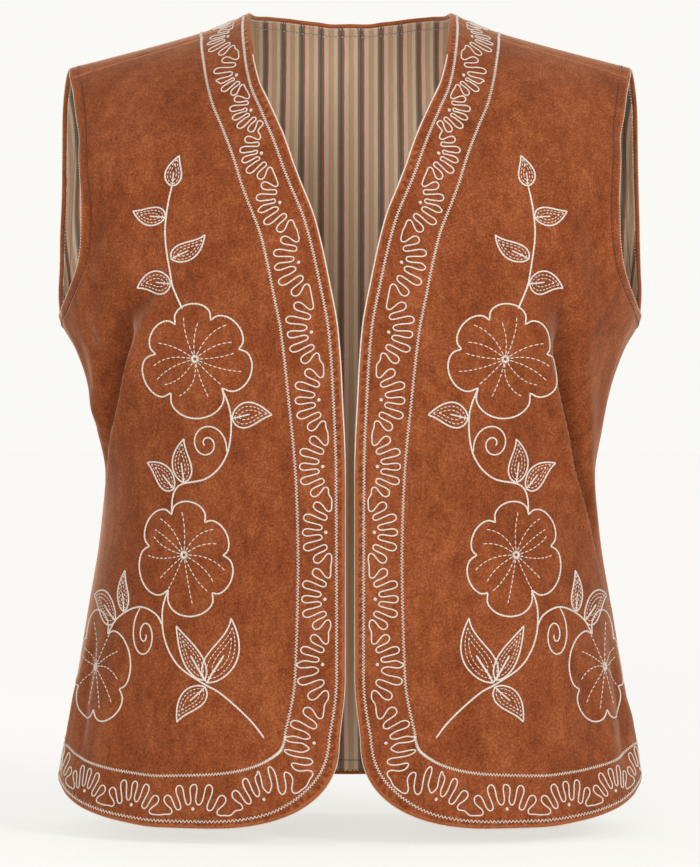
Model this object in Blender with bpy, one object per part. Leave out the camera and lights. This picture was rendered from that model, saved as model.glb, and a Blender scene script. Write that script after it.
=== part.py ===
"""Sleeveless embroidered waistcoat, filled out as if worn, with nobody inside.

Metres, +Z up. The fronts face -Y and +X is the wearer's left. The origin lies midway between the
two neck points, at the top of the shoulders. The garment is four cloth walls, two fronts, one
back and the back's lining, and all four are read from one hollow form. A place on the form is
an angle round the body (0 at the centre front or centre back, 90 degrees at the side seam, and
negative on the -X half) and a level (metres down the cloth; RIDGE_LEVEL is the shoulder ridge).
"""
import bisect
import functools
import math

import bmesh
import bpy
import numpy as np

COLLECTION = "embroidered_waistcoat"

# Cloth
FRONT_WALL = 0.0026        # pile cloth, interlining and inner cloth as one
BACK_WALL = 0.0016         # pile cloth alone
LINING_WALL = 0.0010
SEAM_GAP = 0.0003          # between any two pieces
LINING_INSET = 0.0040      # the lining stops this far short of a turned edge

# The form
SQUARENESS = 2.4           # exponent of the superellipse that each level follows
RIDGE_LEVEL = -0.040
FRONT_ROUND = 0.120        # drop over which the front curves down from the ridge
BACK_ROUND = 0.100         # the same for the back
UNDERARM_LEVEL = 0.2155
NECK_SEAM_FORWARD = 0.032  # the shoulder seam lies this far in front of the ridge at the neck
TIP_SEAM_FORWARD = 0.023   # and this far at the armhole
SECTION_COLUMNS = ("level", "half_width", "front_depth", "back_depth")
SECTIONS = (
    (-0.0400, 0.2250, 0.0980, 0.1000),
    (0.0600, 0.2225, 0.1060, 0.1130),
    (0.1200, 0.2185, 0.1170, 0.1190),
    (0.1700, 0.2130, 0.1250, 0.1180),
    (0.2155, 0.2046, 0.1300, 0.1140),
    (0.2371, 0.1930, 0.1320, 0.1105),
    (0.2653, 0.1831, 0.1320, 0.1060),
    (0.2935, 0.1774, 0.1290, 0.1015),
    (0.3250, 0.1725, 0.1260, 0.0985),
    (0.3640, 0.1755, 0.1250, 0.1000),
    (0.4205, 0.1845, 0.1265, 0.1080),
    (0.4770, 0.1940, 0.1300, 0.1150),
    (0.5334, 0.2046, 0.1345, 0.1210),
    (0.5700, 0.2100, 0.1375, 0.1240),
)
RIDGE_COLUMNS = ("across", "height")
RIDGE = (
    (0.0000, 0.0260),
    (0.0200, 0.0240),
    (0.0400, 0.0176),
    (0.0560, 0.0096),
    (0.0705, 0.0008),
    (0.0850, -0.0062),
    (0.1000, -0.0120),
    (0.1250, -0.0195),
    (0.1500, -0.0262),
    (0.1975, -0.0383),
    (0.2300, -0.0465),
)

# Bust shaping, one soft swelling in each front
BUST_ANGLE = 27.0
BUST_LEVEL = 0.225
BUST_SPREAD_ANGLE = 17.0
BUST_SPREAD_LEVEL = 0.062
BUST_HEIGHT = 0.006

# Inner edge of each front, from the shoulder seam down to the rounded lower corner
EDGE_COLUMNS = ("level", "across")
FRONT_EDGE = (
    (-0.0400, 0.0706),
    (0.0050, 0.0698),
    (0.0430, 0.0662),
    (0.0660, 0.0615),
    (0.0850, 0.0535),
    (0.1070, 0.0432),
    (0.1305, 0.0336),
    (0.1560, 0.0230),
    (0.1930, 0.0138),
    (0.2260, 0.0078),
    (0.2600, 0.0054),
    (0.3270, 0.0033),
    (0.4620, 0.0034),
    (0.5030, 0.0073),
)
CORNER_LEVEL = 0.503       # where the rounded lower corner begins
CORNER_WIDTH = 0.094
CORNER_SQUARENESS = 2.4
LOWEST_LEVEL = 0.563

# Hems, from the rounded corner or the centre back to the side seam
HEM_COLUMNS = ("angle", "level")
FRONT_HEM = (
    (0.0, 0.5630),
    (36.0, 0.5630),
    (46.0, 0.5598),
    (57.0, 0.5540),
    (67.0, 0.5470),
    (75.0, 0.5410),
    (90.0, 0.5375),
)
BACK_HEM = (
    (0.0, 0.5460),
    (45.0, 0.5440),
    (90.0, 0.5375),
)

# Edge of the armhole, from the shoulder ridge down to the underarm
ARMHOLE_COLUMNS = ("level", "front_angle", "back_angle")
ARMHOLE = (
    (-0.0400, 57.0, 57.0),
    (-0.0100, 56.8, 59.3),
    (0.0300, 55.0, 62.0),
    (0.0700, 53.7, 63.6),
    (0.1100, 53.6, 65.6),
    (0.1450, 54.6, 68.6),
    (0.1750, 57.5, 73.6),
    (0.1960, 64.0, 79.8),
    (0.2090, 73.0, 85.0),
    (0.2155, 90.0, 90.0),
)

# Edge of the back neck, from the centre back up to the shoulder ridge
NECK_COLUMNS = ("level", "across")
BACK_NECK = (
    (0.0240, 0.0000),
    (0.0232, 0.0120),
    (0.0185, 0.0260),
    (0.0075, 0.0430),
    (-0.0080, 0.0580),
    (-0.0240, 0.0675),
    (-0.0400, 0.0706),
)

# Folds: a crest along a path, and beside it a trough on the side-seam side
PATH_COLUMNS = ("level", "angle")
FOLD_COLUMNS = ("panel", "side", "path", "crest", "crest_width", "trough", "trough_width")
FOLDS = (
    ("front", -1, ((0.190, 38.0), (0.270, 53.0), (0.345, 80.0)), 0.004, 0.022, 0.011, 0.016),
    ("front", 1, ((0.190, 35.5), (0.285, 49.0), (0.420, 73.0)), 0.004, 0.022, 0.010, 0.017),
    ("back", -1, ((0.150, 52.0), (0.290, 58.0), (0.420, 66.0)), 0.003, 0.024, 0.007, 0.020),
    ("back", 1, ((0.170, 50.0), (0.300, 60.0), (0.450, 68.0)), 0.003, 0.024, 0.006, 0.022),
)
FOLD_RADIUS = 0.165        # turns an angle beside a fold into a distance
SEAM_CALM_ANGLE = 9.0      # folds die away over this angle before the side seam

# Grid of each panel
LOWER_ROWS = 10
CORNER_ROWS = 5
UPPER_ROWS = 12
BACK_LOWER_ROWS = 12
FRONT_SHARES = (0.0, 0.12, 0.28, 0.44, 0.60, 0.75, 0.89, 1.0)
BESIDE_FOLD_SHARES = (0.13, 0.28, 0.46, 0.66, 0.84, 1.0)
BACK_NECK_STEPS = 6
BACK_SHOULDER_STEPS = 7
NECK_TURN_STATION = 4.0    # where the back neck turns forward towards the ridge
NECK_ROWS = 9              # rows from the underarm to that turn, then to the ridge, then to the seam
BEHIND_RIDGE_ROWS = 3
AHEAD_RIDGE_ROWS = 2
BACK_UPPER_ROWS = NECK_ROWS + BEHIND_RIDGE_ROWS + AHEAD_RIDGE_ROWS
ARM_ROW_DIP = 0.020
ARM_ROW_CURVE = 6.75       # makes the dip's deepest point equal to the value above
NECK_LINE_ANGLE = 26.0     # where the column through the neck's turn meets the underarm level
NECK_POINT_ANGLE = 18.0
SHOULDER_TIP_ANGLE = 57.0
GUIDE_HEM_ANGLE = 58.0     # the column that follows a fold comes back to this angle at the hem

STEP_ANGLE = 0.5           # small steps each way that measure a slope
STEP_LEVEL = 0.0010
SEARCH_STEPS = 40

PILE_RUST = (0.270, 0.075, 0.026, 1.0)
PILE_RUST_DEEP = (0.235, 0.064, 0.022, 1.0)
STRIPE_BEIGE = (0.480, 0.330, 0.210, 1.0)
PILE_ROUGHNESS = 0.95
LINING_ROUGHNESS = 0.75
RIM_SHARP_ANGLE = 50.0


@functools.lru_cache(maxsize=None)
def table_curve(table, columns, name):
    """Stations, values, steps and tangents of a named column, against the first column."""
    stations = [row[0] for row in table]
    values = [row[columns.index(name)] for row in table]
    steps = [end - start for start, end in zip(stations, stations[1:])]
    slopes = [(end - start) / step for start, end, step in zip(values, values[1:], steps)]
    tangents = [slopes[0]]
    for before, after in zip(slopes[:-1], slopes[1:]):
        same_way = before * after > 0.0
        tangents.append(2.0 * before * after / (before + after) if same_way else 0.0)
    tangents.append(slopes[-1])
    return stations, values, steps, tangents


def table_value(table, columns, name, at):
    """Read a named column smoothly, and without overshoot, where the first column has this value."""
    stations, values, steps, tangents = table_curve(table, columns, name)
    at = min(max(at, stations[0]), stations[-1])
    span = min(bisect.bisect_right(stations, at) - 1, len(steps) - 1)
    part = (at - stations[span]) / steps[span]
    rest = 1.0 - part
    start = values[span] * (1.0 + 2.0 * part) + tangents[span] * steps[span] * part
    end = values[span + 1] * (1.0 + 2.0 * rest) - tangents[span + 1] * steps[span] * rest
    return start * rest * rest + end * part * part


def ease(part):
    """Run from 0 to 1 with level ends."""
    part = min(max(part, 0.0), 1.0)
    return part * part * (3.0 - 2.0 * part)


def mix(start, end, part):
    return start + (end - start) * part


def section(level, name):
    return table_value(SECTIONS, SECTION_COLUMNS, name, level)


def angle_at(across, level):
    """Angle of the point that lies this far from the centre line at this level."""
    share = min(abs(across) / section(level, "half_width"), 1.0)
    return math.degrees(math.atan2(share, (1.0 - share ** SQUARENESS) ** (1.0 / SQUARENESS)))


def form_point(panel, angle, level):
    """A point of the bare form."""
    if panel == "back" and level < RIDGE_LEVEL:
        return form_point("front", angle, 2.0 * RIDGE_LEVEL - level)
    rounding = FRONT_ROUND if panel == "front" else BACK_ROUND
    drop, reach = level, 1.0
    if level < rounding:
        turn = math.pi / 2.0 * (level - RIDGE_LEVEL) / (rounding - RIDGE_LEVEL)
        drop = rounding * (1.0 - math.cos(turn))
        reach = math.sin(turn)
    sine, cosine = math.sin(math.radians(angle)), math.cos(math.radians(angle))
    spread = (abs(sine) ** SQUARENESS + abs(cosine) ** SQUARENESS) ** (-1.0 / SQUARENESS)
    x = section(level, "half_width") * sine * spread
    depth = section(level, panel + "_depth") * cosine * spread * reach
    ridge = table_value(RIDGE, RIDGE_COLUMNS, "height", abs(x))
    z = ridge * (1.0 - ease(drop / UNDERARM_LEVEL)) - drop
    return np.array((x, -depth if panel == "front" else depth, z))


def surface_normal(place, panel, angle, level):
    """Outward unit normal of the surface that place(panel, angle, level) gives."""
    around = place(panel, angle + STEP_ANGLE, level) - place(panel, angle - STEP_ANGLE, level)
    down = place(panel, angle, level + STEP_LEVEL) - place(panel, angle, level - STEP_LEVEL)
    normal = np.cross(down, around) if panel == "front" else np.cross(around, down)
    return normal / np.linalg.norm(normal)


def bust_height(angle, level):
    around = (abs(angle) - BUST_ANGLE) / BUST_SPREAD_ANGLE
    along = (level - BUST_LEVEL) / BUST_SPREAD_LEVEL
    return BUST_HEIGHT * math.exp(-around * around - along * along)


def fold_height(panel, angle, level):
    """How far the folds push the cloth out from the bare form."""
    height = 0.0
    for row in FOLDS:
        fold = dict(zip(FOLD_COLUMNS, row))
        top, bottom = fold["path"][0][0], fold["path"][-1][0]
        if fold["panel"] != panel or fold["side"] * angle < 0.0 or not top < level < bottom:
            continue
        crest_angle = table_value(fold["path"], PATH_COLUMNS, "angle", level)
        beside = math.radians(abs(angle) - crest_angle) * FOLD_RADIUS
        width = fold["crest_width"] if beside < 0.0 else fold["trough_width"]
        rise = fold["crest"] * math.exp(-(beside / width) ** 2)
        if beside > 0.0:
            across = beside / fold["trough_width"]
            rise -= fold["trough"] * (across * math.exp(1.0 - across)) ** 2
        fade = math.sin(math.pi * (level - top) / (bottom - top))
        height += rise * fade * ease((90.0 - abs(angle)) / SEAM_CALM_ANGLE)
    return height


def folded_point(panel, angle, level):
    """A point of the cloth's outer face."""
    push = fold_height(panel, angle, level)
    if panel == "front":
        push += bust_height(angle, level)
    return form_point(panel, angle, level) + surface_normal(form_point, panel, angle, level) * push


def cloth_point(panel, angle, level, inward):
    """A point this far inside the cloth's outer face."""
    normal = surface_normal(folded_point, panel, angle, level)
    return folded_point(panel, angle, level) - normal * inward


def seam_level(angle, clearance):
    """Level, on the front, of the forward shoulder seam, or of a line this far in front of it."""
    part = (angle - NECK_POINT_ANGLE) / (SHOULDER_TIP_ANGLE - NECK_POINT_ANGLE)
    forward = mix(NECK_SEAM_FORWARD, TIP_SEAM_FORWARD, part) + clearance
    level = RIDGE_LEVEL
    for _ in range(SEARCH_STEPS):
        full_depth = -form_point("front", angle, FRONT_ROUND)[1]
        full_depth *= section(level, "front_depth") / section(FRONT_ROUND, "front_depth")
        level = mix(RIDGE_LEVEL, FRONT_ROUND, math.asin(forward / full_depth) * 2.0 / math.pi)
    return level


def seam_corner(clearance):
    """Place on the front where the shoulder seam meets the neck edge."""
    level = RIDGE_LEVEL
    for _ in range(SEARCH_STEPS):
        across = table_value(FRONT_EDGE, EDGE_COLUMNS, "across", level)
        level = seam_level(angle_at(across, level), clearance)
    return np.array((angle_at(across, level), level))


def armhole_place(panel, station):
    """Place on the armhole edge, from 0 at the underarm to 1 at the shoulder ridge."""
    last = len(ARMHOLE) - 1
    stations = tuple((float(last - index),) + row for index, row in enumerate(ARMHOLE))[::-1]
    columns = ("station",) + ARMHOLE_COLUMNS
    angle = table_value(stations, columns, panel + "_angle", station * last)
    level = table_value(stations, columns, "level", station * last)
    return np.array((angle, level))


def armhole_seam_station(clearance):
    """Station at which the armhole's front edge meets the shoulder seam."""
    low, high = 0.5, 1.0
    for _ in range(SEARCH_STEPS):
        middle = (low + high) / 2.0
        angle, level = armhole_place("front", middle)
        if level > seam_level(angle, clearance):
            low = middle
        else:
            high = middle
    return (low + high) / 2.0


def front_edge_place(level):
    """Place on the inner edge of a front, round the lower corner too."""
    if level <= CORNER_LEVEL:
        return np.array((angle_at(table_value(FRONT_EDGE, EDGE_COLUMNS, "across", level), level), level))
    down = min((level - CORNER_LEVEL) / (LOWEST_LEVEL - CORNER_LEVEL), 1.0)
    left = (1.0 - down ** CORNER_SQUARENESS) ** (1.0 / CORNER_SQUARENESS)
    across = FRONT_EDGE[-1][1] + CORNER_WIDTH * (1.0 - left)
    return np.array((angle_at(across, level), level))


def front_hem_level(angle):
    return table_value(FRONT_HEM, HEM_COLUMNS, "level", angle)


def back_hem_level(angle):
    return table_value(BACK_HEM, HEM_COLUMNS, "level", abs(angle))


def edge_levels():
    """Levels of the front's rows from the hem up to the underarm, close together round the corner."""
    levels = []
    for index in range(CORNER_ROWS):
        turn = math.radians(90.0 * (1.0 - index / CORNER_ROWS))
        down = math.sin(turn) ** (2.0 / CORNER_SQUARENESS)
        levels.append(mix(CORNER_LEVEL, LOWEST_LEVEL, down))
    for index in range(LOWER_ROWS + 1):
        levels.append(mix(CORNER_LEVEL, UNDERARM_LEVEL, index / LOWER_ROWS))
    return levels


def patch(left, right, bottom, top, across_shares, up_shares):
    """Places of a patch between four edges, each a function of a share from 0 to 1."""
    rows = []
    for up in up_shares:
        row = []
        for across in across_shares:
            sides = mix(left(up), right(up), across)
            ends = mix(bottom(across), top(across), up)
            corners = mix(mix(left(0.0), right(0.0), across), mix(left(1.0), right(1.0), across), up)
            row.append(sides + ends - corners)
        rows.append(row)
    return rows


def arm_row_place(start, end, share):
    """Place on the row that meets the armhole at the underarm, and dips below it on the way there."""
    dip = ARM_ROW_DIP * ARM_ROW_CURVE * share * share * (1.0 - share)
    return np.array((mix(start, end, share), UNDERARM_LEVEL + dip))


def guide_angle(side, level):
    """Angle of the column that follows a front's fold, and runs on above and below it."""
    path = next(row[2] for row in FOLDS if row[0] == "front" and row[1] == side)
    last_level = path[-1][0]
    below = ease((level - last_level) / (LOWEST_LEVEL - last_level))
    return mix(table_value(path, PATH_COLUMNS, "angle", level), GUIDE_HEM_ANGLE, below)


def front_places(side):
    """Rows of places of a front, from the hem to the shoulder seam."""
    side_angle = 90.0 - math.degrees(SEAM_GAP / 2.0 / section(UNDERARM_LEVEL, "front_depth"))
    clearance = SEAM_GAP / 2.0
    rows = []
    for level in edge_levels():
        share = (level - UNDERARM_LEVEL) / (LOWEST_LEVEL - UNDERARM_LEVEL)
        inner = front_edge_place(level)[0]
        fold = guide_angle(side, level)
        angles = [mix(inner, fold, part) for part in FRONT_SHARES]
        angles += [mix(fold, side_angle, part) for part in BESIDE_FOLD_SHARES]
        shares = [(angle - inner) / (side_angle - inner) for angle in angles]
        above = [arm_row_place(inner, side_angle, part)[1] for part in shares]
        rows.append([np.array((angle, mix(top, front_hem_level(angle), share)))
                     for angle, top in zip(angles, above)])
    inner_angle = inner
    corner = seam_corner(clearance)
    seam_station = armhole_seam_station(clearance)
    shoulder = armhole_place("front", seam_station)

    def neck_edge(up):
        return front_edge_place(mix(UNDERARM_LEVEL, corner[1], up))

    def armhole_edge(up):
        angle, level = armhole_place("front", up * seam_station)
        return np.array((min(angle, side_angle), level))

    def underarm_row(across):
        return arm_row_place(inner_angle, side_angle, across)

    def shoulder_seam(across):
        angle = mix(corner[0], shoulder[0], across)
        return np.array((angle, seam_level(angle, clearance)))

    climbs = [(index + 1) / UPPER_ROWS for index in range(UPPER_ROWS)]
    return rows + patch(neck_edge, armhole_edge, underarm_row, shoulder_seam, shares, climbs)


def back_armhole_edge(clearance):
    """Places up the back's armhole edge, over the ridge and down to the shoulder seam."""
    seam_station = armhole_seam_station(clearance)
    places = []
    for index in range(BACK_UPPER_ROWS + 1):
        station = (2.0 - seam_station) * index / BACK_UPPER_ROWS
        if station <= 1.0:
            places.append(armhole_place("back", station))
        else:
            angle, level = armhole_place("front", 2.0 - station)
            places.append(np.array((angle, 2.0 * RIDGE_LEVEL - level)))
    return places


def back_neck_place(station):
    """Place on the back neck, from station 0 at the centre to the last one at the shoulder ridge."""
    stations = tuple((float(number),) + row for number, row in enumerate(BACK_NECK))
    columns = ("station",) + NECK_COLUMNS
    level = table_value(stations, columns, "level", station)
    across = table_value(stations, columns, "across", station)
    return np.array((angle_at(across, level), level))


def neck_side(clearance):
    """Places on the neck edge after its turn, over the ridge and down to the shoulder seam."""
    last = len(BACK_NECK) - 1
    places = [back_neck_place(mix(NECK_TURN_STATION, last, (index + 1) / BEHIND_RIDGE_ROWS))
              for index in range(BEHIND_RIDGE_ROWS)]
    corner = seam_corner(clearance)
    for index in range(AHEAD_RIDGE_ROWS):
        level = mix(RIDGE_LEVEL, corner[1], (index + 1) / AHEAD_RIDGE_ROWS)
        angle = front_edge_place(level)[0]
        places.append(np.array((angle, 2.0 * RIDGE_LEVEL - level)))
    return places


def listed_patch(left, right, bottom, top):
    """Places of a patch between four lists of places."""
    ups, acrosses = len(left) - 1, len(bottom) - 1
    return patch(lambda up: left[round(up * ups)],
                 lambda up: right[round(up * ups)],
                 lambda across: bottom[round(across * acrosses)],
                 lambda across: top[round(across * acrosses)],
                 [index / acrosses for index in range(acrosses + 1)],
                 [index / ups for index in range(ups + 1)])


def half_back_places():
    """Rows of places of the +X half of the back, from the hem up to the neck and shoulder seam."""
    side_angle = 90.0 - math.degrees(SEAM_GAP / 2.0 / section(UNDERARM_LEVEL, "back_depth"))
    clearance = -SEAM_GAP / 2.0
    armhole = back_armhole_edge(clearance)
    armhole[0][0] = side_angle
    neck = [back_neck_place(NECK_TURN_STATION * index / BACK_NECK_STEPS)
            for index in range(BACK_NECK_STEPS + 1)]
    turn_share = NECK_LINE_ANGLE / side_angle
    middle_underarm = [arm_row_place(0.0, side_angle, turn_share * index / BACK_NECK_STEPS)
                       for index in range(BACK_NECK_STEPS + 1)]
    side_underarm = [arm_row_place(0.0, side_angle, mix(turn_share, 1.0, index / BACK_SHOULDER_STEPS))
                     for index in range(BACK_SHOULDER_STEPS + 1)]
    inner_side = [mix(middle_underarm[-1], neck[-1], index / NECK_ROWS)
                  for index in range(NECK_ROWS + 1)] + neck_side(clearance)
    seam = []
    for index in range(BACK_SHOULDER_STEPS + 1):
        angle = mix(inner_side[-1][0], armhole[-1][0], index / BACK_SHOULDER_STEPS)
        seam.append(np.array((angle, 2.0 * RIDGE_LEVEL - seam_level(angle, clearance))))
    centre = [mix(middle_underarm[0], neck[0], index / NECK_ROWS) for index in range(NECK_ROWS + 1)]
    middle = listed_patch(centre, inner_side[:NECK_ROWS + 1], middle_underarm, neck)
    middle += [neck] * (BACK_UPPER_ROWS - NECK_ROWS)
    outer = listed_patch(inner_side, armhole, side_underarm, seam)
    underarm = middle_underarm[:-1] + side_underarm
    rows = [[np.array((place[0], mix(back_hem_level(place[0]), place[1], index / BACK_LOWER_ROWS)))
             for place in underarm] for index in range(BACK_LOWER_ROWS)]
    rows += [inner[:-1] + beyond for inner, beyond in zip(middle, outer)]
    rows = [row[:-1] + [beside(row[-1], row[-2], LINING_INSET)] + row[-1:] for row in rows]
    corner = BACK_NECK_STEPS + 1
    rows = [row[:corner] + [beside(row[corner - 1], row[corner], LINING_INSET)] + row[corner:]
            for row in rows]
    hem_turn = [beside(place, above, LINING_INSET) for place, above in zip(rows[0], rows[1])]
    turn_row = BACK_LOWER_ROWS + NECK_ROWS
    neck_turn = [beside(place, below, LINING_INSET)
                 for place, below in zip(rows[turn_row], rows[turn_row - 1])]
    return rows[:1] + [hem_turn] + rows[1:turn_row] + [neck_turn] + rows[turn_row:]


def beside(place, towards, distance):
    """The place that lies this far from one place on the way to another."""
    apart = np.linalg.norm(cloth_point("back", *towards, 0.0) - cloth_point("back", *place, 0.0))
    return mix(place, towards, distance / apart)


def mirrored(rows):
    """Both halves of a panel, from the places of its +X half."""
    flip = np.array((-1.0, 1.0))
    return [[place * flip for place in row[:0:-1]] + row for row in rows]


def cloth_wall(name, panel, rows, cells, outer_inward, wall, colour, roughness):
    """A closed wall of cloth over some of the cells of a grid: two faces and the rim between them."""
    model = bmesh.new()
    corners = {(row, column) for cell in cells for row, column in cell_corners(cell)}
    sheets = []
    for inward in (outer_inward, outer_inward + wall):
        sheets.append({corner: model.verts.new(cloth_point(panel, *rows[corner[0]][corner[1]], inward))
                       for corner in sorted(corners)})
    outer, inner = sheets
    sides = set()
    for cell in cells:
        around = cell_corners(cell)
        start_angle, next_angle = (abs(rows[row][column][0]) for row, column in around[:2])
        turned = around if start_angle < next_angle else around[1:] + around[:1]
        for sheet in sheets:
            first, second, third, fourth = (sheet[corner] for corner in turned)
            model.faces.new((first, second, third))
            model.faces.new((first, third, fourth))
        for start, end in zip(around, around[1:] + around[:1]):
            if (end, start) in sides:
                sides.remove((end, start))
            else:
                sides.add((start, end))
    for start, end in sorted(sides):
        model.faces.new((outer[start], outer[end], inner[end], inner[start]))
    bmesh.ops.recalc_face_normals(model, faces=model.faces)
    mesh = bpy.data.meshes.new(name)
    model.to_mesh(mesh)
    model.free()
    mesh.shade_smooth()
    mesh.set_sharp_from_angle(angle=math.radians(RIM_SHARP_ANGLE))
    mesh.materials.append(cloth_material(name, colour, roughness))
    piece = bpy.data.objects.new(name, mesh)
    bpy.data.collections[COLLECTION].objects.link(piece)
    return piece


def cell_corners(cell):
    row, column = cell
    return [(row, column), (row, column + 1), (row + 1, column + 1), (row + 1, column)]


def all_cells(rows):
    return [(row, column) for row in range(len(rows) - 1) for column in range(len(rows[0]) - 1)]


def cloth_material(name, colour, roughness):
    material = bpy.data.materials.new(name)
    material.use_nodes = True
    shader = material.node_tree.nodes["Principled BSDF"]
    shader.inputs["Base Color"].default_value = colour
    shader.inputs["Roughness"].default_value = roughness
    shader.inputs["Metallic"].default_value = 0.0
    return material


def front(name, side):
    """One front. The side is -1 for the wearer's right and +1 for the wearer's left."""
    rows = [[place * np.array((side, 1.0)) for place in row] for row in front_places(side)]
    return cloth_wall(name, "front", rows, all_cells(rows), 0.0, FRONT_WALL, PILE_RUST, PILE_ROUGHNESS)


def back_cells(rows, inset):
    """Cells of the back under its neck opening, less a turned edge when it is inset."""
    last_column = len(rows[0]) - 2
    neck_row = BACK_LOWER_ROWS + NECK_ROWS + 2 - inset
    armhole_row = BACK_LOWER_ROWS + 1
    cells = []
    for row, column in all_cells(rows):
        at_hem = row < inset
        at_neck = row >= neck_row and abs(column - last_column / 2.0) < BACK_NECK_STEPS + inset
        at_armhole = row >= armhole_row and not inset <= column <= last_column - inset
        if not (at_hem or at_neck or at_armhole):
            cells.append((row, column))
    return cells


def back(name):
    rows = mirrored(half_back_places())
    return cloth_wall(name, "back", rows, back_cells(rows, 0), 0.0, BACK_WALL, PILE_RUST_DEEP, PILE_ROUGHNESS)


def back_lining(name):
    """The lining lies on the back's own points, and leaves out the turned hem, neck and armholes."""
    rows = mirrored(half_back_places())
    cells = back_cells(rows, 1)
    depth = BACK_WALL + SEAM_GAP
    return cloth_wall(name, "back", rows, cells, depth, LINING_WALL, STRIPE_BEIGE, LINING_ROUGHNESS)


def clear_scene():
    for item in list(bpy.data.objects):
        bpy.data.objects.remove(item, do_unlink=True)


def main():
    clear_scene()
    collection = bpy.data.collections.new(COLLECTION)
    bpy.context.scene.collection.children.link(collection)
    front("front_right", -1)
    front("front_left", 1)
    back("back")
    back_lining("lining_back")


main()
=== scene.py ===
"""Looks of the embroidered waistcoat: pile cloth, striped lining, sewing and thread embroidery.

Metres, +Z up, +X to the wearer's left, fronts towards -Y. A place on the garment is an angle
round the body (0 at the centre, 90 degrees at the side seam, negative on the -X half) and a
level (metres down the cloth, RIDGE_LEVEL at the shoulder ridge). On the back, levels above the
ridge run on down the front as far as the forward shoulder seam.
"""
import copy
import math

import bpy
import numpy as np
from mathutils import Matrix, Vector


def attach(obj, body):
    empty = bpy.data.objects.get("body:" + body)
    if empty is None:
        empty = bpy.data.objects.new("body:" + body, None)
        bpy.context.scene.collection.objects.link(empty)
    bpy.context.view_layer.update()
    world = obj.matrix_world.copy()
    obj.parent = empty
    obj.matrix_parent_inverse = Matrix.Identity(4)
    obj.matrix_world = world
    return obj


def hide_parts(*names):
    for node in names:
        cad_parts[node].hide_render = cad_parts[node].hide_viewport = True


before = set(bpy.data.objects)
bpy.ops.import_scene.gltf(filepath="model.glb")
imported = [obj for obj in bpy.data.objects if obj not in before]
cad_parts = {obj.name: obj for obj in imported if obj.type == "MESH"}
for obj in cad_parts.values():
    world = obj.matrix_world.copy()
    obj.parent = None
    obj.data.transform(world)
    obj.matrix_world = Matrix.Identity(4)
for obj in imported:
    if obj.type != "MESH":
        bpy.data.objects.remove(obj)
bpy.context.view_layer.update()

# ---- the garment's form

SQUARENESS = 2.4
RIDGE_LEVEL = -0.040
FRONT_ROUND = 0.120
BACK_ROUND = 0.100
UNDERARM_LEVEL = 0.2155
NECK_SEAM_FORWARD = 0.032
TIP_SEAM_FORWARD = 0.023
NECK_POINT_ANGLE = 18.0
SHOULDER_TIP_ANGLE = 57.0
BUST = {"angle": 27.0, "level": 0.225, "across": 17.0, "down": 0.062, "height": 0.006}

SECTION_COLUMNS = ("level", "half_width", "front_depth", "back_depth")
SECTIONS = (
    (-0.0400, 0.2250, 0.0980, 0.1000),
    (0.0600, 0.2225, 0.1060, 0.1130),
    (0.1200, 0.2185, 0.1170, 0.1190),
    (0.1700, 0.2130, 0.1250, 0.1180),
    (0.2155, 0.2046, 0.1300, 0.1140),
    (0.2371, 0.1930, 0.1320, 0.1105),
    (0.2653, 0.1831, 0.1320, 0.1060),
    (0.2935, 0.1774, 0.1290, 0.1015),
    (0.3250, 0.1725, 0.1260, 0.0985),
    (0.3640, 0.1755, 0.1250, 0.1000),
    (0.4205, 0.1845, 0.1265, 0.1080),
    (0.4770, 0.1940, 0.1300, 0.1150),
    (0.5334, 0.2046, 0.1345, 0.1210),
    (0.5700, 0.2100, 0.1375, 0.1240),
)
RIDGE_COLUMNS = ("across", "height")
RIDGE = (
    (0.0000, 0.0260),
    (0.0200, 0.0240),
    (0.0400, 0.0176),
    (0.0560, 0.0096),
    (0.0705, 0.0008),
    (0.0850, -0.0062),
    (0.1000, -0.0120),
    (0.1250, -0.0195),
    (0.1500, -0.0262),
    (0.1975, -0.0383),
    (0.2300, -0.0465),
)
FRONT_EDGE_COLUMNS = ("level", "across")
FRONT_EDGE = (
    (-0.0400, 0.0706),
    (0.0050, 0.0698),
    (0.0430, 0.0662),
    (0.0660, 0.0615),
    (0.0850, 0.0535),
    (0.1070, 0.0432),
    (0.1305, 0.0336),
    (0.1560, 0.0230),
    (0.1930, 0.0138),
    (0.2260, 0.0078),
    (0.2600, 0.0054),
    (0.3270, 0.0033),
    (0.4620, 0.0034),
    (0.5030, 0.0073),
)
CORNER_LEVEL = 0.503
CORNER_WIDTH = 0.094
CORNER_SQUARENESS = 2.4
LOWEST_LEVEL = 0.563
HEM_COLUMNS = ("angle", "level")
FRONT_HEM = (
    (0.0, 0.5630),
    (36.0, 0.5630),
    (46.0, 0.5598),
    (57.0, 0.5540),
    (67.0, 0.5470),
    (75.0, 0.5410),
    (90.0, 0.5375),
)
BACK_HEM = (
    (0.0, 0.5460),
    (45.0, 0.5440),
    (90.0, 0.5375),
)
ARMHOLE_COLUMNS = ("level", "front_angle", "back_angle")
ARMHOLE = (
    (-0.0400, 57.0, 57.0),
    (-0.0100, 56.8, 59.3),
    (0.0300, 55.0, 62.0),
    (0.0700, 53.7, 63.6),
    (0.1100, 53.6, 65.6),
    (0.1450, 54.6, 68.6),
    (0.1750, 57.5, 73.6),
    (0.1960, 64.0, 79.8),
    (0.2090, 73.0, 85.0),
    (0.2155, 90.0, 90.0),
)
BACK_NECK_COLUMNS = ("level", "across")
BACK_NECK = (
    (0.0240, 0.0000),
    (0.0232, 0.0120),
    (0.0185, 0.0260),
    (0.0075, 0.0430),
    (-0.0080, 0.0580),
    (-0.0240, 0.0675),
    (-0.0400, 0.0706),
)
NECK_TURN_STATION = 4.0
NECK_LINE_ANGLE = 26.0
ARM_ROW_DIP = 0.020
ARM_ROW_CURVE = 6.75

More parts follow.
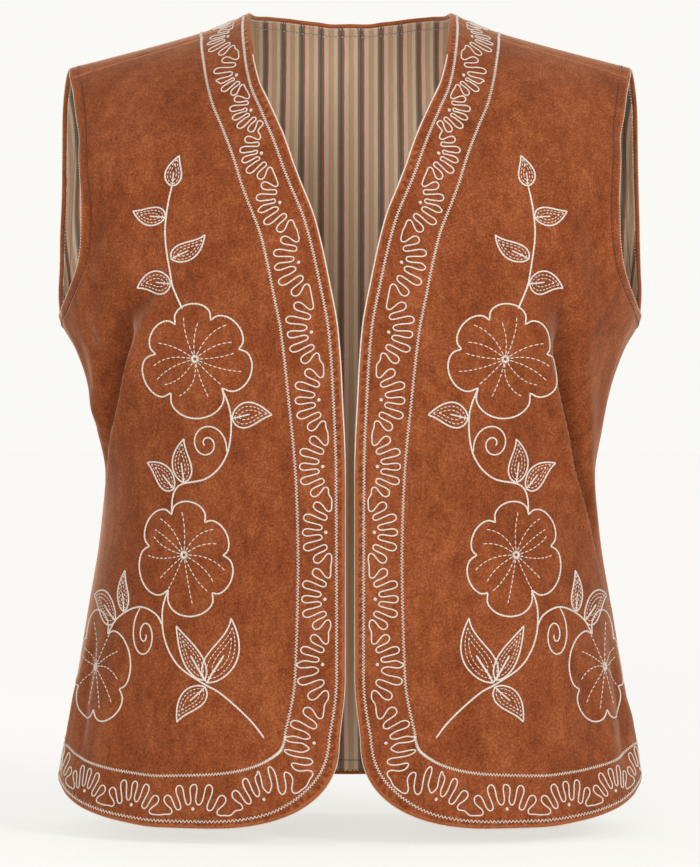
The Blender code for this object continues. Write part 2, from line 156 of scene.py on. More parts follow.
PATH_COLUMNS = ("level", "angle")
FOLD_COLUMNS = ("panel", "side", "path", "crest", "crest_width", "trough", "trough_width")
FOLDS = (
    ("front", -1, ((0.190, 38.0), (0.270, 53.0), (0.345, 80.0)), 0.004, 0.022, 0.011, 0.016),
    ("front", 1, ((0.190, 35.5), (0.285, 49.0), (0.420, 73.0)), 0.004, 0.022, 0.010, 0.017),
    ("back", -1, ((0.150, 52.0), (0.290, 58.0), (0.420, 66.0)), 0.003, 0.024, 0.007, 0.020),
    ("back", 1, ((0.170, 50.0), (0.300, 60.0), (0.450, 68.0)), 0.003, 0.024, 0.006, 0.022),
)
FOLD_RADIUS = 0.165
SEAM_CALM_ANGLE = 9.0
STEP_ANGLE = 0.4
STEP_LEVEL = 0.0008
SEARCH_STEPS = 40


def read(table, columns, name, at):
    """Read a named column smoothly, and without overshoot, where the first column has these values."""
    rows = np.array([[row[0], row[columns.index(name)]] for row in table], float)
    stations, values = rows[:, 0], rows[:, 1]
    steps = np.diff(stations)
    slopes = np.diff(values) / steps
    before, after = slopes[:-1], slopes[1:]
    total = np.where(before + after == 0.0, 1.0, before + after)
    middle = np.where(before * after > 0.0, 2.0 * before * after / total, 0.0)
    tangents = np.concatenate((slopes[:1], middle, slopes[-1:]))
    at = np.clip(at, stations[0], stations[-1])
    span = np.clip(np.searchsorted(stations, at, side="right") - 1, 0, len(steps) - 1)
    part = (at - stations[span]) / steps[span]
    rest = 1.0 - part
    start = values[span] * (1.0 + 2.0 * part) + tangents[span] * steps[span] * part
    end = values[span + 1] * (1.0 + 2.0 * rest) - tangents[span + 1] * steps[span] * rest
    return start * rest * rest + end * part * part


def ease(part):
    part = np.clip(part, 0.0, 1.0)
    return part * part * (3.0 - 2.0 * part)


def mix(start, end, part):
    return start + (end - start) * part


def unit(vectors):
    return vectors / np.linalg.norm(vectors, axis=-1, keepdims=True)


def section(level, name):
    return read(SECTIONS, SECTION_COLUMNS, name, level)


def angle_at(across, level):
    share = np.minimum(np.abs(across) / section(level, "half_width"), 1.0)
    return np.degrees(np.arctan2(share, (1.0 - share ** SQUARENESS) ** (1.0 / SQUARENESS)))


def form_side(panel, angle, level):
    """Points of the bare form, all on the front or all on the back."""
    rounding = FRONT_ROUND if panel == "front" else BACK_ROUND
    turn = np.pi / 2.0 * np.minimum((level - RIDGE_LEVEL) / (rounding - RIDGE_LEVEL), 1.0)
    drop = np.where(level < rounding, rounding * (1.0 - np.cos(turn)), level)
    reach = np.sin(turn)
    sine, cosine = np.sin(np.radians(angle)), np.cos(np.radians(angle))
    spread = (np.abs(sine) ** SQUARENESS + np.abs(cosine) ** SQUARENESS) ** (-1.0 / SQUARENESS)
    x = section(level, "half_width") * sine * spread
    depth = section(level, panel + "_depth") * cosine * spread * reach
    ridge = read(RIDGE, RIDGE_COLUMNS, "height", np.abs(x))
    z = ridge * (1.0 - ease(drop / UNDERARM_LEVEL)) - drop
    return np.stack((x, -depth if panel == "front" else depth, z), axis=-1)


def form(panel, angle, level):
    """Points of the bare form. Past the shoulder ridge the back runs on down the front."""
    angle, level = np.broadcast_arrays(np.asarray(angle, float), np.asarray(level, float))
    if panel == "front":
        return form_side("front", angle, level)
    over = form_side("front", angle, 2.0 * RIDGE_LEVEL - np.minimum(level, RIDGE_LEVEL))
    return np.where((level < RIDGE_LEVEL)[..., None], over, form_side("back", angle, level))


def normals(place, panel, angle, level):
    """Outward unit normals of the surface that place(panel, angle, level) gives."""
    around = place(panel, angle + STEP_ANGLE, level) - place(panel, angle - STEP_ANGLE, level)
    down = place(panel, angle, level + STEP_LEVEL) - place(panel, angle, level - STEP_LEVEL)
    return unit(np.cross(down, around) if panel == "front" else np.cross(around, down))


def fold_height(panel, angle, level):
    """How far the large folds push the cloth out from the bare form."""
    height = np.zeros(np.broadcast(angle, level).shape)
    for row in FOLDS:
        fold = dict(zip(FOLD_COLUMNS, row))
        if fold["panel"] != panel:
            continue
        top, bottom = fold["path"][0][0], fold["path"][-1][0]
        crest_angle = read(fold["path"], PATH_COLUMNS, "angle", level)
        beside = np.radians(np.abs(angle) - crest_angle) * FOLD_RADIUS
        width = np.where(beside < 0.0, fold["crest_width"], fold["trough_width"])
        across = np.maximum(beside, 0.0) / fold["trough_width"]
        rise = fold["crest"] * np.exp(-(beside / width) ** 2)
        rise -= fold["trough"] * (across * np.exp(1.0 - across)) ** 2
        fade = np.sin(np.pi * np.clip((level - top) / (bottom - top), 0.0, 1.0))
        here = fade * ease((90.0 - np.abs(angle)) / SEAM_CALM_ANGLE)
        height += np.where(fold["side"] * angle >= 0.0, rise * here, 0.0)
    return height


CREASE_COLUMNS = ("panel", "side", "start", "end", "bend", "height", "width")
CREASES = (
    ("front", -1, (0.1950, 31.8), (0.3250, 79.0), -0.005, 0.0044, 0.0075),
    ("front", -1, (0.1950, 36.9), (0.3150, 81.0), -0.005, -0.0094, 0.0100),
    ("front", 1, (0.1950, 32.0), (0.3900, 71.0), -0.004, 0.0038, 0.0080),
    ("front", 1, (0.1980, 37.8), (0.3700, 75.6), -0.004, -0.0096, 0.0110),
    ("front", -1, (0.060, 52.0), (0.130, 69.0), 0.006, -0.0032, 0.010),
    ("front", -1, (0.110, 50.0), (0.185, 55.0), -0.005, -0.0035, 0.011),
    ("front", -1, (0.205, 70.0), (0.300, 76.0), 0.004, 0.0020, 0.009),
    ("front", -1, (0.215, 58.0), (0.285, 63.0), 0.003, -0.0023, 0.008),
    ("front", -1, (0.430, 66.0), (0.520, 62.0), 0.006, -0.0026, 0.009),
    ("front", -1, (0.460, 75.0), (0.535, 72.0), 0.004, 0.0023, 0.009),
    ("front", -1, (0.470, 48.0), (0.545, 45.0), -0.004, -0.0017, 0.012),
    ("front", 1, (0.055, 50.0), (0.120, 66.0), 0.005, -0.0026, 0.011),
    ("front", 1, (0.120, 47.0), (0.200, 53.0), -0.006, -0.0032, 0.012),
    ("front", 1, (0.210, 66.0), (0.310, 74.0), 0.004, 0.0022, 0.010),
    ("front", 1, (0.440, 69.0), (0.530, 64.0), 0.006, -0.0028, 0.010),
    ("front", 1, (0.450, 52.0), (0.550, 50.0), 0.005, -0.0019, 0.013),
    ("front", 1, (0.480, 77.0), (0.536, 74.0), 0.003, 0.0023, 0.008),
    ("back", -1, (0.070, 40.0), (0.190, 62.0), 0.010, -0.0038, 0.014),
    ("back", -1, (0.240, 20.0), (0.330, 34.0), 0.008, -0.0032, 0.013),
    ("back", -1, (0.300, 74.0), (0.370, 50.0), 0.006, 0.0029, 0.012),
    ("back", -1, (0.430, 34.0), (0.540, 30.0), 0.006, -0.0035, 0.016),
    ("back", 1, (0.060, 44.0), (0.175, 64.0), 0.008, -0.0035, 0.013),
    ("back", 1, (0.255, 16.0), (0.345, 38.0), -0.007, -0.0029, 0.012),
    ("back", 1, (0.310, 76.0), (0.360, 47.0), 0.005, 0.0026, 0.011),
    ("back", 1, (0.415, 41.0), (0.535, 45.0), -0.006, -0.0032, 0.015),
    ("back", 1, (0.400, 8.0), (0.520, 6.0), 0.004, -0.0023, 0.018),
)
CREASE_RADIUS = 0.170
CREASE_REACH = 1.6         # how soon a crease fades towards its ends
BESIDE_SHARE = 0.35        # a crease's opposite swelling beside it: its height,
BESIDE_PLACE = 1.6         # how far off it lies and how wide it is, in widths of the crease
BESIDE_WIDTH = 1.1


def crease_height(panel, angle, level):
    """How far the small creases push the cloth out, each a soft bent trough or ridge."""
    height = np.zeros(np.broadcast(angle, level).shape)
    for row in CREASES:
        crease = dict(zip(CREASE_COLUMNS, row))
        if crease["panel"] != panel:
            continue
        (top, start), (bottom, end) = crease["start"], crease["end"]
        span = np.array((np.radians(end - start) * CREASE_RADIUS, bottom - top))
        length = np.hypot(*span)
        along_way, side_way = span / length, np.array((span[1], -span[0])) / length
        right = np.radians(np.abs(angle) - start) * CREASE_RADIUS
        down = level - top
        part = np.clip((right * along_way[0] + down * along_way[1]) / length, -0.5, 1.5)
        bow = crease["bend"] * 4.0 * part * (1.0 - part)
        off = (right * side_way[0] + down * side_way[1] - bow) / crease["width"]
        from_middle = np.abs(part - 0.5)
        fade = ease(0.5 + CREASE_REACH * (0.5 - from_middle)) * ease(1.5 - 2.0 * from_middle)
        beside = np.exp(-((off - BESIDE_PLACE) / BESIDE_WIDTH) ** 2)
        shape = np.exp(-off ** 2) - BESIDE_SHARE * beside
        height += np.where(crease["side"] * angle >= 0.0, crease["height"] * shape * fade, 0.0)
    return height * ease((90.0 - np.abs(angle)) / SEAM_CALM_ANGLE)


def cloth_face(panel, angle, level):
    """Points of the cloth's outer face, with its folds and creases."""
    push = fold_height(panel, angle, level) + crease_height(panel, angle, level)
    if panel == "front":
        around = (np.abs(angle) - BUST["angle"]) / BUST["across"]
        along = (level - BUST["level"]) / BUST["down"]
        push = push + BUST["height"] * np.exp(-around ** 2 - along ** 2)
    return form(panel, angle, level) + normals(form, panel, angle, level) * push[..., None]


def cloth(panel, places, out=0.0):
    """Points this far outside the cloth's outer face, at an array of places."""
    angle, level = places[..., 0], places[..., 1]
    points = cloth_face(panel, angle, level)
    return points + normals(cloth_face, panel, angle, level) * np.asarray(out)[..., None]


def seam_level(angle, clearance=0.0):
    """Level, on the front, of the forward shoulder seam, or of a line this far in front of it."""
    part = (np.abs(angle) - NECK_POINT_ANGLE) / (SHOULDER_TIP_ANGLE - NECK_POINT_ANGLE)
    forward = mix(NECK_SEAM_FORWARD, TIP_SEAM_FORWARD, part) + clearance
    level = np.full(np.shape(angle), RIDGE_LEVEL)
    for _ in range(SEARCH_STEPS):
        full_depth = -form("front", angle, FRONT_ROUND)[..., 1]
        full_depth = full_depth * section(level, "front_depth") / section(FRONT_ROUND, "front_depth")
        level = mix(RIDGE_LEVEL, FRONT_ROUND, np.arcsin(forward / full_depth) * 2.0 / np.pi)
    return level


def front_edge(level):
    """Places on the inner edge of a front, round the lower corner too."""
    level = np.asarray(level, float)
    down = np.clip((level - CORNER_LEVEL) / (LOWEST_LEVEL - CORNER_LEVEL), 0.0, 1.0)
    left = (1.0 - down ** CORNER_SQUARENESS) ** (1.0 / CORNER_SQUARENESS)
    across = read(FRONT_EDGE, FRONT_EDGE_COLUMNS, "across", level) + CORNER_WIDTH * (1.0 - left)
    return np.stack((angle_at(across, level), level), axis=-1)


def seam_corner(clearance=0.0):
    """Place on the front where the shoulder seam meets the neck edge."""
    level = RIDGE_LEVEL
    for _ in range(SEARCH_STEPS):
        level = seam_level(front_edge(level)[0], clearance)
    return front_edge(level)


def read_by_row(table, columns, name, station):
    """Read a named column of a table whose rows are numbered from 0."""
    numbered = [(float(index),) + row for index, row in enumerate(table)]
    return read(numbered, ("station",) + columns, name, station)


def armhole(panel, station):
    """Places on the armhole edge, from 0 at the underarm to 1 at the shoulder ridge."""
    station = np.asarray(station) * (len(ARMHOLE) - 1)
    names = (panel + "_angle", "level")
    return np.stack([read_by_row(ARMHOLE[::-1], ARMHOLE_COLUMNS, name, station) for name in names], axis=-1)


def armhole_seam_station(clearance=0.0):
    """Station at which the armhole's front edge meets the shoulder seam."""
    low, high = 0.5, 1.0
    for _ in range(SEARCH_STEPS):
        middle = (low + high) / 2.0
        angle, level = armhole("front", middle)
        low, high = (middle, high) if level > seam_level(angle, clearance) else (low, middle)
    return (low + high) / 2.0


def back_neck(station):
    """Places on the back neck, from station 0 at the centre to the last one at the shoulder ridge."""
    level, across = (read_by_row(BACK_NECK, BACK_NECK_COLUMNS, name, station) for name in BACK_NECK_COLUMNS)
    return np.stack((angle_at(across, level), level), axis=-1)


# ---- distances on the cloth

TABLE_ANGLES = np.linspace(0.0, 92.0, 140)
TABLE_LEVELS = np.linspace(-0.080, 0.600, 137)


def arc_table(panel):
    """Distance round the bare form from the centre line, for a row of angles at each level."""
    points = form(panel, TABLE_ANGLES[None, :], TABLE_LEVELS[:, None])
    steps = np.linalg.norm(np.diff(points, axis=1), axis=-1)
    return np.concatenate((np.zeros((len(TABLE_LEVELS), 1)), np.cumsum(steps, axis=1)), axis=1)


ARC_TABLES = {panel: arc_table(panel) for panel in ("front", "back")}


def find_row(value, stations):
    """The number of the even row that each value lies in, and the share of that row before it."""
    at = np.clip((value - stations[0]) / (stations[1] - stations[0]), 0, len(stations) - 1.001)
    row = at.astype(int)
    return row, at - row


def arc_rows(panel, level):
    """The arc table's row at each of these levels."""
    row, part = find_row(level, TABLE_LEVELS)
    table = ARC_TABLES[panel]
    return mix(table[row], table[row + 1], part[:, None])


def cloth_across(panel, places):
    """Distance across the cloth from the centre line, with the sign of the angle."""
    angle, level = places[:, 0], places[:, 1]
    rows = arc_rows(panel, level)
    column, part = find_row(np.abs(angle), TABLE_ANGLES)
    lines = np.arange(len(angle))
    return np.sign(angle) * mix(rows[lines, column], rows[lines, column + 1], part)


def places_at(panel, across, level):
    """Places this far across the cloth from the centre line, at these levels."""
    across, level = np.broadcast_arrays(np.asarray(across, float), np.asarray(level, float))
    shape = across.shape
    across, level = across.ravel(), level.ravel()
    rows = arc_rows(panel, level)
    column = np.clip(np.sum(rows < np.abs(across)[:, None], axis=1) - 1, 0, len(TABLE_ANGLES) - 2)
    lines = np.arange(len(across))
    before, after = rows[lines, column], rows[lines, column + 1]
    step = TABLE_ANGLES[1] - TABLE_ANGLES[0]
    angle = (column + (np.abs(across) - before) / (after - before)) * step
    return places_of(np.sign(across) * angle, level).reshape(shape + (2,))


# ---- grids of places

SEAM_CLEARANCE = -0.00004
CORNER_ROWS = 30
LOWER_ROWS = 92
UPPER_ROWS = 76
FRONT_COLUMNS = 84
BACK_LOWER_ROWS = 96
NECK_ROWS = 64
BEHIND_RIDGE_ROWS = 22
AHEAD_RIDGE_ROWS = 14
BACK_UPPER_ROWS = NECK_ROWS + BEHIND_RIDGE_ROWS + AHEAD_RIDGE_ROWS
BACK_NECK_STEPS = 30
BACK_SHOULDER_STEPS = 50


def places_of(angle, level):
    return np.stack(np.broadcast_arrays(np.asarray(angle, float), np.asarray(level, float)), axis=-1)


def shares(steps):
    return np.linspace(0.0, 1.0, steps + 1)


def over_ridge(places):
    """The same places of the shoulder, told from the other side of the ridge."""
    return places_of(places[..., 0], 2.0 * RIDGE_LEVEL - places[..., 1])


def patch(left, right, bottom, top, across, up):
    """Places of a patch between four lists of places."""
    across, up = across[None, :, None], up[:, None, None]
    sides = mix(left[:, None], right[:, None], across)
    ends = mix(bottom[None], top[None], up)
    corners = mix(mix(left[0], right[0], across), mix(left[-1], right[-1], across), up)
    return sides + ends - corners


def arm_row(start, end, share):
    """Places on the row that meets the armhole at the underarm, and dips below it on the way."""
    dip = ARM_ROW_DIP * ARM_ROW_CURVE * share * share * (1.0 - share)
    return places_of(mix(start, end, share), UNDERARM_LEVEL + dip)


def side_seam_angle(panel):
    return 90.0 - np.degrees(SEAM_CLEARANCE / section(UNDERARM_LEVEL, panel + "_depth"))


def front_places():
    """Rows of places of the +X front, from the hem up to the shoulder seam."""
    side_angle = side_seam_angle("front")
    turn = np.radians(np.linspace(90.0, 0.0, CORNER_ROWS, endpoint=False))
    corner_levels = mix(CORNER_LEVEL, LOWEST_LEVEL, np.sin(turn) ** (2.0 / CORNER_SQUARENESS))
    levels = np.concatenate((corner_levels, mix(CORNER_LEVEL, UNDERARM_LEVEL, shares(LOWER_ROWS))))
    across = shares(FRONT_COLUMNS)
    angles = mix(front_edge(levels)[:, :1], side_angle, across)
    down = ((levels - UNDERARM_LEVEL) / (LOWEST_LEVEL - UNDERARM_LEVEL))[:, None]
    even_down = np.linspace(1.0, 0.0, len(levels))[:, None]
    down = mix(down, even_down, ease(across / CORNER_FAN_SHARE))
    above = arm_row(angles[-1, 0], side_angle, across)[:, 1]
    lower = places_of(angles, mix(above, read(FRONT_HEM, HEM_COLUMNS, "level", angles), down))
    up = shares(UPPER_ROWS)
    corner = seam_corner(SEAM_CLEARANCE)
    neck = front_edge(mix(UNDERARM_LEVEL, corner[1], up))
    arm = armhole("front", up * armhole_seam_station(SEAM_CLEARANCE))
    arm[:, 0] = np.minimum(arm[:, 0], side_angle)
    seam_angles = mix(corner[0], arm[-1, 0], across)
    seam = places_of(seam_angles, seam_level(seam_angles, SEAM_CLEARANCE))
    upper = patch(neck, arm, lower[-1], seam, across, up)
    return np.concatenate((lower, upper[1:]))


def half_back_places():
    """Rows of places of the back's +X half, from the hem up to the neck and shoulder seam."""
    side_angle = side_seam_angle("back")
    station = (2.0 - armhole_seam_station(-SEAM_CLEARANCE)) * shares(BACK_UPPER_ROWS)
    behind = armhole("back", np.minimum(station, 1.0))
    ahead = over_ridge(armhole("front", 2.0 - np.maximum(station, 1.0)))
    arm = np.where(station[:, None] <= 1.0, behind, ahead)
    arm[0, 0] = side_angle
    neck = back_neck(NECK_TURN_STATION * shares(BACK_NECK_STEPS))
    turn_share = NECK_LINE_ANGLE / side_angle
    middle_share = turn_share * shares(BACK_NECK_STEPS)
    outer_share = mix(turn_share, 1.0, shares(BACK_SHOULDER_STEPS))
    middle_underarm = arm_row(0.0, side_angle, middle_share)
    outer_underarm = arm_row(0.0, side_angle, outer_share)
    rise = shares(NECK_ROWS)
    corner = seam_corner(-SEAM_CLEARANCE)
    behind_ridge = back_neck(mix(NECK_TURN_STATION, len(BACK_NECK) - 1.0, shares(BEHIND_RIDGE_ROWS)[1:]))
    ahead_ridge = over_ridge(front_edge(mix(RIDGE_LEVEL, corner[1], shares(AHEAD_RIDGE_ROWS)[1:])))
    line = mix(middle_underarm[-1], neck[-1], rise[:, None])
    inner = np.concatenate((line, behind_ridge, ahead_ridge))
    seam_angles = mix(inner[-1, 0], arm[-1, 0], shares(BACK_SHOULDER_STEPS))
    seam = over_ridge(places_of(seam_angles, seam_level(seam_angles, -SEAM_CLEARANCE)))
    centre = mix(middle_underarm[0], neck[0], rise[:, None])
    middle = patch(centre, line, middle_underarm, neck, shares(BACK_NECK_STEPS), rise)
    middle = np.concatenate((middle, np.repeat(neck[None], BACK_UPPER_ROWS - NECK_ROWS, axis=0)))
    outer = patch(inner, arm, outer_underarm, seam, shares(BACK_SHOULDER_STEPS), shares(BACK_UPPER_ROWS))
    upper = np.concatenate((middle[:, :-1], outer), axis=1)
    hem = places_of(upper[0, :, 0], read(BACK_HEM, HEM_COLUMNS, "level", upper[0, :, 0]))
    lower = mix(hem, upper[0], shares(BACK_LOWER_ROWS)[:, None, None])
    return np.concatenate((lower[:-1], upper))


def back_places():
    half = half_back_places()
    return np.concatenate((half[:, :0:-1] * (-1.0, 1.0), half), axis=1)


def back_cells(places, step=1):
    """Which cells of the back's grid are cloth: those below the neck opening."""
    rows, columns = places.shape[0] - 1, places.shape[1] - 1
    row, column = np.mgrid[:rows, :columns]
    from_middle = np.abs(column + 0.5 - columns / 2.0) * step
    return ~((row * step >= BACK_LOWER_ROWS + NECK_ROWS) & (from_middle < BACK_NECK_STEPS))


# ---- walls of cloth

PILE_WALL = 0.0015
TURNED_EDGE = 0.0011       # more thickness where the pile cloth is turned in at an edge
TURN_WIDTH = 0.0035
LINING_DEPTH = 0.0021
LINING_WALL = 0.0006
LINING_INSET = 0.0030
LINING_SEAM_INSET = 0.0004
EDGE_REACH = 0.007         # points this near an edge give way when the edge is drawn in
RIM_TURNS = (45.0, 90.0, 135.0)
ROUND_EDGE = (PILE_WALL + TURNED_EDGE) / 2.0
SEWN_EDGE, ARMHOLE_EDGE, SEAM = 0.0, 1.0, 2.0
NEAR_EDGE = 0.060
HOLLOW_DEPTH = 0.0085      # a crease this deep has all its pile in shade
EVENING_ROUNDS = 3         # how often the way in is evened out along the outline
POINTS_AT_ONCE = 1500
CORNER_FAN_SHARE = 0.45


def cell_corners(cells, columns):
    """Corner numbers of the cells that are cloth, one row of four for each."""
    row, column = np.nonzero(cells)
    start = row * columns + column
    return np.stack((start, start + 1, start + columns + 1, start + columns), axis=-1)


def outline_of(quads):
    """Directed edges that only one quad has, in order along each outline."""
    edges = np.concatenate([quads[:, (side, (side + 1) % 4)] for side in range(4)])
    known = {(start, end) for start, end in edges.tolist()}
    after = {start: end for start, end in sorted(known) if (end, start) not in known}
    loop = [min(after)]
    while after[loop[-1]] != loop[0]:
        loop.append(after[loop[-1]])
    return np.array(loop)


class Cloth:
    """A grid of places of one panel, its quads seen from outside, and its outline."""

    def __init__(self, panel, places, cells):
        self.panel = panel
        self.places = places
        self.quads = cell_corners(cells, places.shape[1])
        points, facing = self.skin()
        first, second, third, _ = self.quads.T
        turned = np.cross(points[second] - points[first], points[third] - points[second])
        if np.sum(turned * facing[first]) < 0.0:
            self.quads = self.quads[:, ::-1]
        self.outline = outline_of(self.quads)
        self.measure(points, facing)

    def skin(self):
        """The points of the outer face, and the way that each of them faces."""
        facing = normals(cloth_face, self.panel, self.places[..., 0], self.places[..., 1])
        return cloth(self.panel, self.places).reshape(-1, 3), facing.reshape(-1, 3)

    def measure(self, points, facing):
        """Finds each point's distance from the outline, where along it, and the way in from there."""
        starts = points[self.outline]
        ends = np.roll(starts, -1, axis=0)
        along = ends - starts
        length = np.linalg.norm(along, axis=1)
        ways = unit(np.cross(facing[self.outline], along))
        run = np.concatenate(((0.0,), np.cumsum(length)))[:-1]
        count = len(points)
        self.distance = np.full(count, NEAR_EDGE)
        self.run = np.zeros(count)
        self.way_in = np.zeros((count, 3))
        self.nearest = np.zeros(count, int)
        used = np.unique(self.quads)
        for chunk in np.array_split(used, max(len(used) // POINTS_AT_ONCE, 1)):
            offset = points[chunk, None] - starts
            part = np.clip(np.einsum("pek,ek->pe", offset, along) / length ** 2, 0.0, 1.0)
            apart = np.linalg.norm(offset - along * part[..., None], axis=-1)
            best = np.argmin(apart, axis=1)
            rows = np.arange(len(chunk))
            self.distance[chunk] = apart[rows, best]
            self.run[chunk] = run[best] + part[rows, best] * length[best]
            self.way_in[chunk] = ways[best]
            self.nearest[chunk] = best
        self.way_in[self.outline] = unit(ways + np.roll(ways, 1, axis=0))
        self.run[self.outline] = run
        self.kind = self.outline_kinds()[self.nearest]

    def outline_kinds(self):
        """What each point of the outline is: a sewn edge, an armhole or a seam."""
        rows, columns = self.places.shape[:2]
        row, column = np.divmod(self.outline, columns)
        level = self.places[..., 1].ravel()[self.outline]
        at_side = (column == columns - 1) | ((self.panel == "back") & (column == 0))
        kind = np.where(at_side, np.where(level > UNDERARM_LEVEL, SEAM, ARMHOLE_EDGE), SEWN_EDGE)
        return np.where((row == rows - 1) & ~at_side, SEAM, kind)

    def drawn_in(self, distance, at_seams):
        """The same cloth with its edges this much further in, and its points near them moved."""
        flat = self.places.reshape(-1, 2)
        amount = np.where(self.outline_kinds() == SEAM, at_seams, distance)
        for _ in range(EVENING_ROUNDS):
            amount = (np.roll(amount, 1) + amount + np.roll(amount, -1)) / 3.0
        amount = amount[self.nearest]
        away = np.clip(1.0 - self.distance / np.maximum(EDGE_REACH, 3.0 * amount), 0.0, 1.0) ** 2
        moved = flat + place_shift(self.panel, flat, self.way_in * (away * amount)[:, None])
        drawn = copy.copy(self)
        drawn.places = moved.reshape(self.places.shape)
        drawn.measure(*drawn.skin())
        return drawn


def place_shift(panel, places, shift):
    """Change of place that moves points of the bare form by these small shifts."""
    angle, level = places[..., 0], places[..., 1]
    around = form(panel, angle + STEP_ANGLE, level) - form(panel, angle - STEP_ANGLE, level)
    down = form(panel, angle, level + STEP_LEVEL) - form(panel, angle, level - STEP_LEVEL)
    around, down = around / (2.0 * STEP_ANGLE), down / (2.0 * STEP_LEVEL)
    aa, ad, dd = (np.sum(a * b, axis=-1) for a, b in ((around, around), (around, down), (down, down)))
    sa, sd = np.sum(shift * around, axis=-1), np.sum(shift * down, axis=-1)
    scale = aa * dd - ad * ad
    return np.stack(((dd * sa - ad * sd) / scale, (aa * sd - ad * sa) / scale), axis=-1)


def compact(points, faces, values):
    """The points that faces use, with faces and values to match."""
    used, numbers = np.unique(faces, return_inverse=True)
    return points[used], numbers.reshape(faces.shape), {name: value[used] for name, value in values.items()}


def link(piece):
    bpy.context.scene.collection.objects.link(piece)
    return piece


def mesh_piece(name, points, faces, values, material):
    """A smooth mesh with these point attributes and one material."""
    mesh = bpy.data.meshes.new(name)
    mesh.vertices.add(len(points))
    mesh.vertices.foreach_set("co", points.astype(np.float32).ravel())
    corners = np.concatenate([group.ravel() for group in faces])
    counts = np.concatenate([np.full(len(group), group.shape[1]) for group in faces])
    mesh.loops.add(len(corners))
    mesh.loops.foreach_set("vertex_index", corners.astype(np.int32))
    mesh.polygons.add(len(counts))
    mesh.polygons.foreach_set("loop_start", (np.cumsum(counts) - counts).astype(np.int32))
    mesh.polygons.foreach_set("use_smooth", np.ones(len(counts), bool))
    mesh.update(calc_edges=True)
    for label, value in values.items():
        kind, field = ("FLOAT_VECTOR", "vector") if value.ndim == 2 else ("FLOAT", "value")
        attribute = mesh.attributes.new(label, kind, "POINT")
        attribute.data.foreach_set(field, value.astype(np.float32).ravel())
    mesh.materials.append(material)
    mesh.validate()
    return link(bpy.data.objects.new(name, mesh))


def cloth_wall(name, sheet, depth, wall, turned, material):
    """A closed wall of cloth: outer face, rounded rim and inner face."""
    flat = sheet.places.reshape(-1, 2)
    facing = normals(cloth_face, sheet.panel, flat[:, 0], flat[:, 1])
    face = cloth_face(sheet.panel, flat[:, 0], flat[:, 1])
    thickness = wall + turned * np.exp(-(sheet.distance / TURN_WIDTH) ** 2)
    outer = face - facing * depth
    inner = outer - facing * thickness[:, None]
    count, loop = len(flat), sheet.outline
    rings = [loop]
    points = [outer, inner]
    half = thickness[loop, None] / 2.0
    middle = (outer[loop] + inner[loop]) / 2.0
    for number, turn in enumerate(np.radians(RIM_TURNS)):
        points.append(middle + half * (facing[loop] * np.cos(turn) - sheet.way_in[loop] * np.sin(turn)))
        rings.append(2 * count + number * len(loop) + np.arange(len(loop)))
    rings.append(loop + count)
    faces = [sheet.quads, sheet.quads[:, ::-1] + count]
    for near, far in zip(rings, rings[1:]):
        faces.append(np.stack((np.roll(near, -1), near, far, np.roll(far, -1)), axis=-1))
    across = cloth_across(sheet.panel, flat)
    # How deep a crease is here, which the pile's colour turns into painted shade.
    hollow = np.clip(-crease_height(sheet.panel, flat[:, 0], flat[:, 1]) / HOLLOW_DEPTH, 0.0, 1.0)
    source = np.concatenate([np.arange(count)] * 2 + [loop] * len(RIM_TURNS))
    values = {"cloth_place": np.stack((across, flat[:, 1], sheet.distance), axis=-1)[source],
              "edge_run": sheet.run[source], "edge_kind": sheet.kind[source],
              "fold_hollow": hollow[source]}
    points, faces, values = compact(np.concatenate(points), np.concatenate(faces), values)
    return mesh_piece(name, points, [faces], values, material)


# ---- finishes

PILE_DEEP = (0.140, 0.030, 0.008, 1.0)
PILE_MIDDLE = (0.230, 0.054, 0.015, 1.0)
PILE_LIGHT = (0.350, 0.103, 0.035, 1.0)
THREAD_CREAM = (0.760, 0.670, 0.580, 1.0)
THREAD_BROWN = (0.120, 0.042, 0.018, 1.0)
FLOOR_WHITE = (0.400, 0.397, 0.388, 1.0)
FLOOR_FAR = (0.752, 0.741, 0.720, 1.0)
FLOOR_NEAR = (0.636, 0.630, 0.604, 1.0)
FLOOR_REACH = 1.2
FLOOR_GLOW = (0.400, 0.397, 0.385, 1.0)
PINCH_PITCH = 0.0062
PATCH_SCALE, STROKE_SCALE, GRAIN_SCALE = 30.0, 130.0, 760.0
PATCH_SHARE, STROKE_SHARE, GRAIN_SHARE = 0.20, 0.26, 0.54
NAP_STRETCH = (1.0, 1.0, 0.62)
SLUBS_ACROSS, SLUBS_DOWN = 1500.0, 120.0
WEFT_PITCH, WARP_PITCH = 0.0007, 0.0006
THREAD_TONE_SCALE = 900.0
STRIPE_CYCLE = 0.0148
STRIPES = (
    (0.000, (0.150, 0.160, 0.120, 1.0)),
    (0.145, (0.520, 0.150, 0.062, 1.0)),
    (0.240, (0.800, 0.600, 0.460, 1.0)),
    (0.455, (0.700, 0.370, 0.210, 1.0)),
    (0.530, (0.640, 0.450, 0.270, 1.0)),
    (0.720, (0.820, 0.620, 0.450, 1.0)),
    (0.905, (0.370, 0.240, 0.145, 1.0)),
)


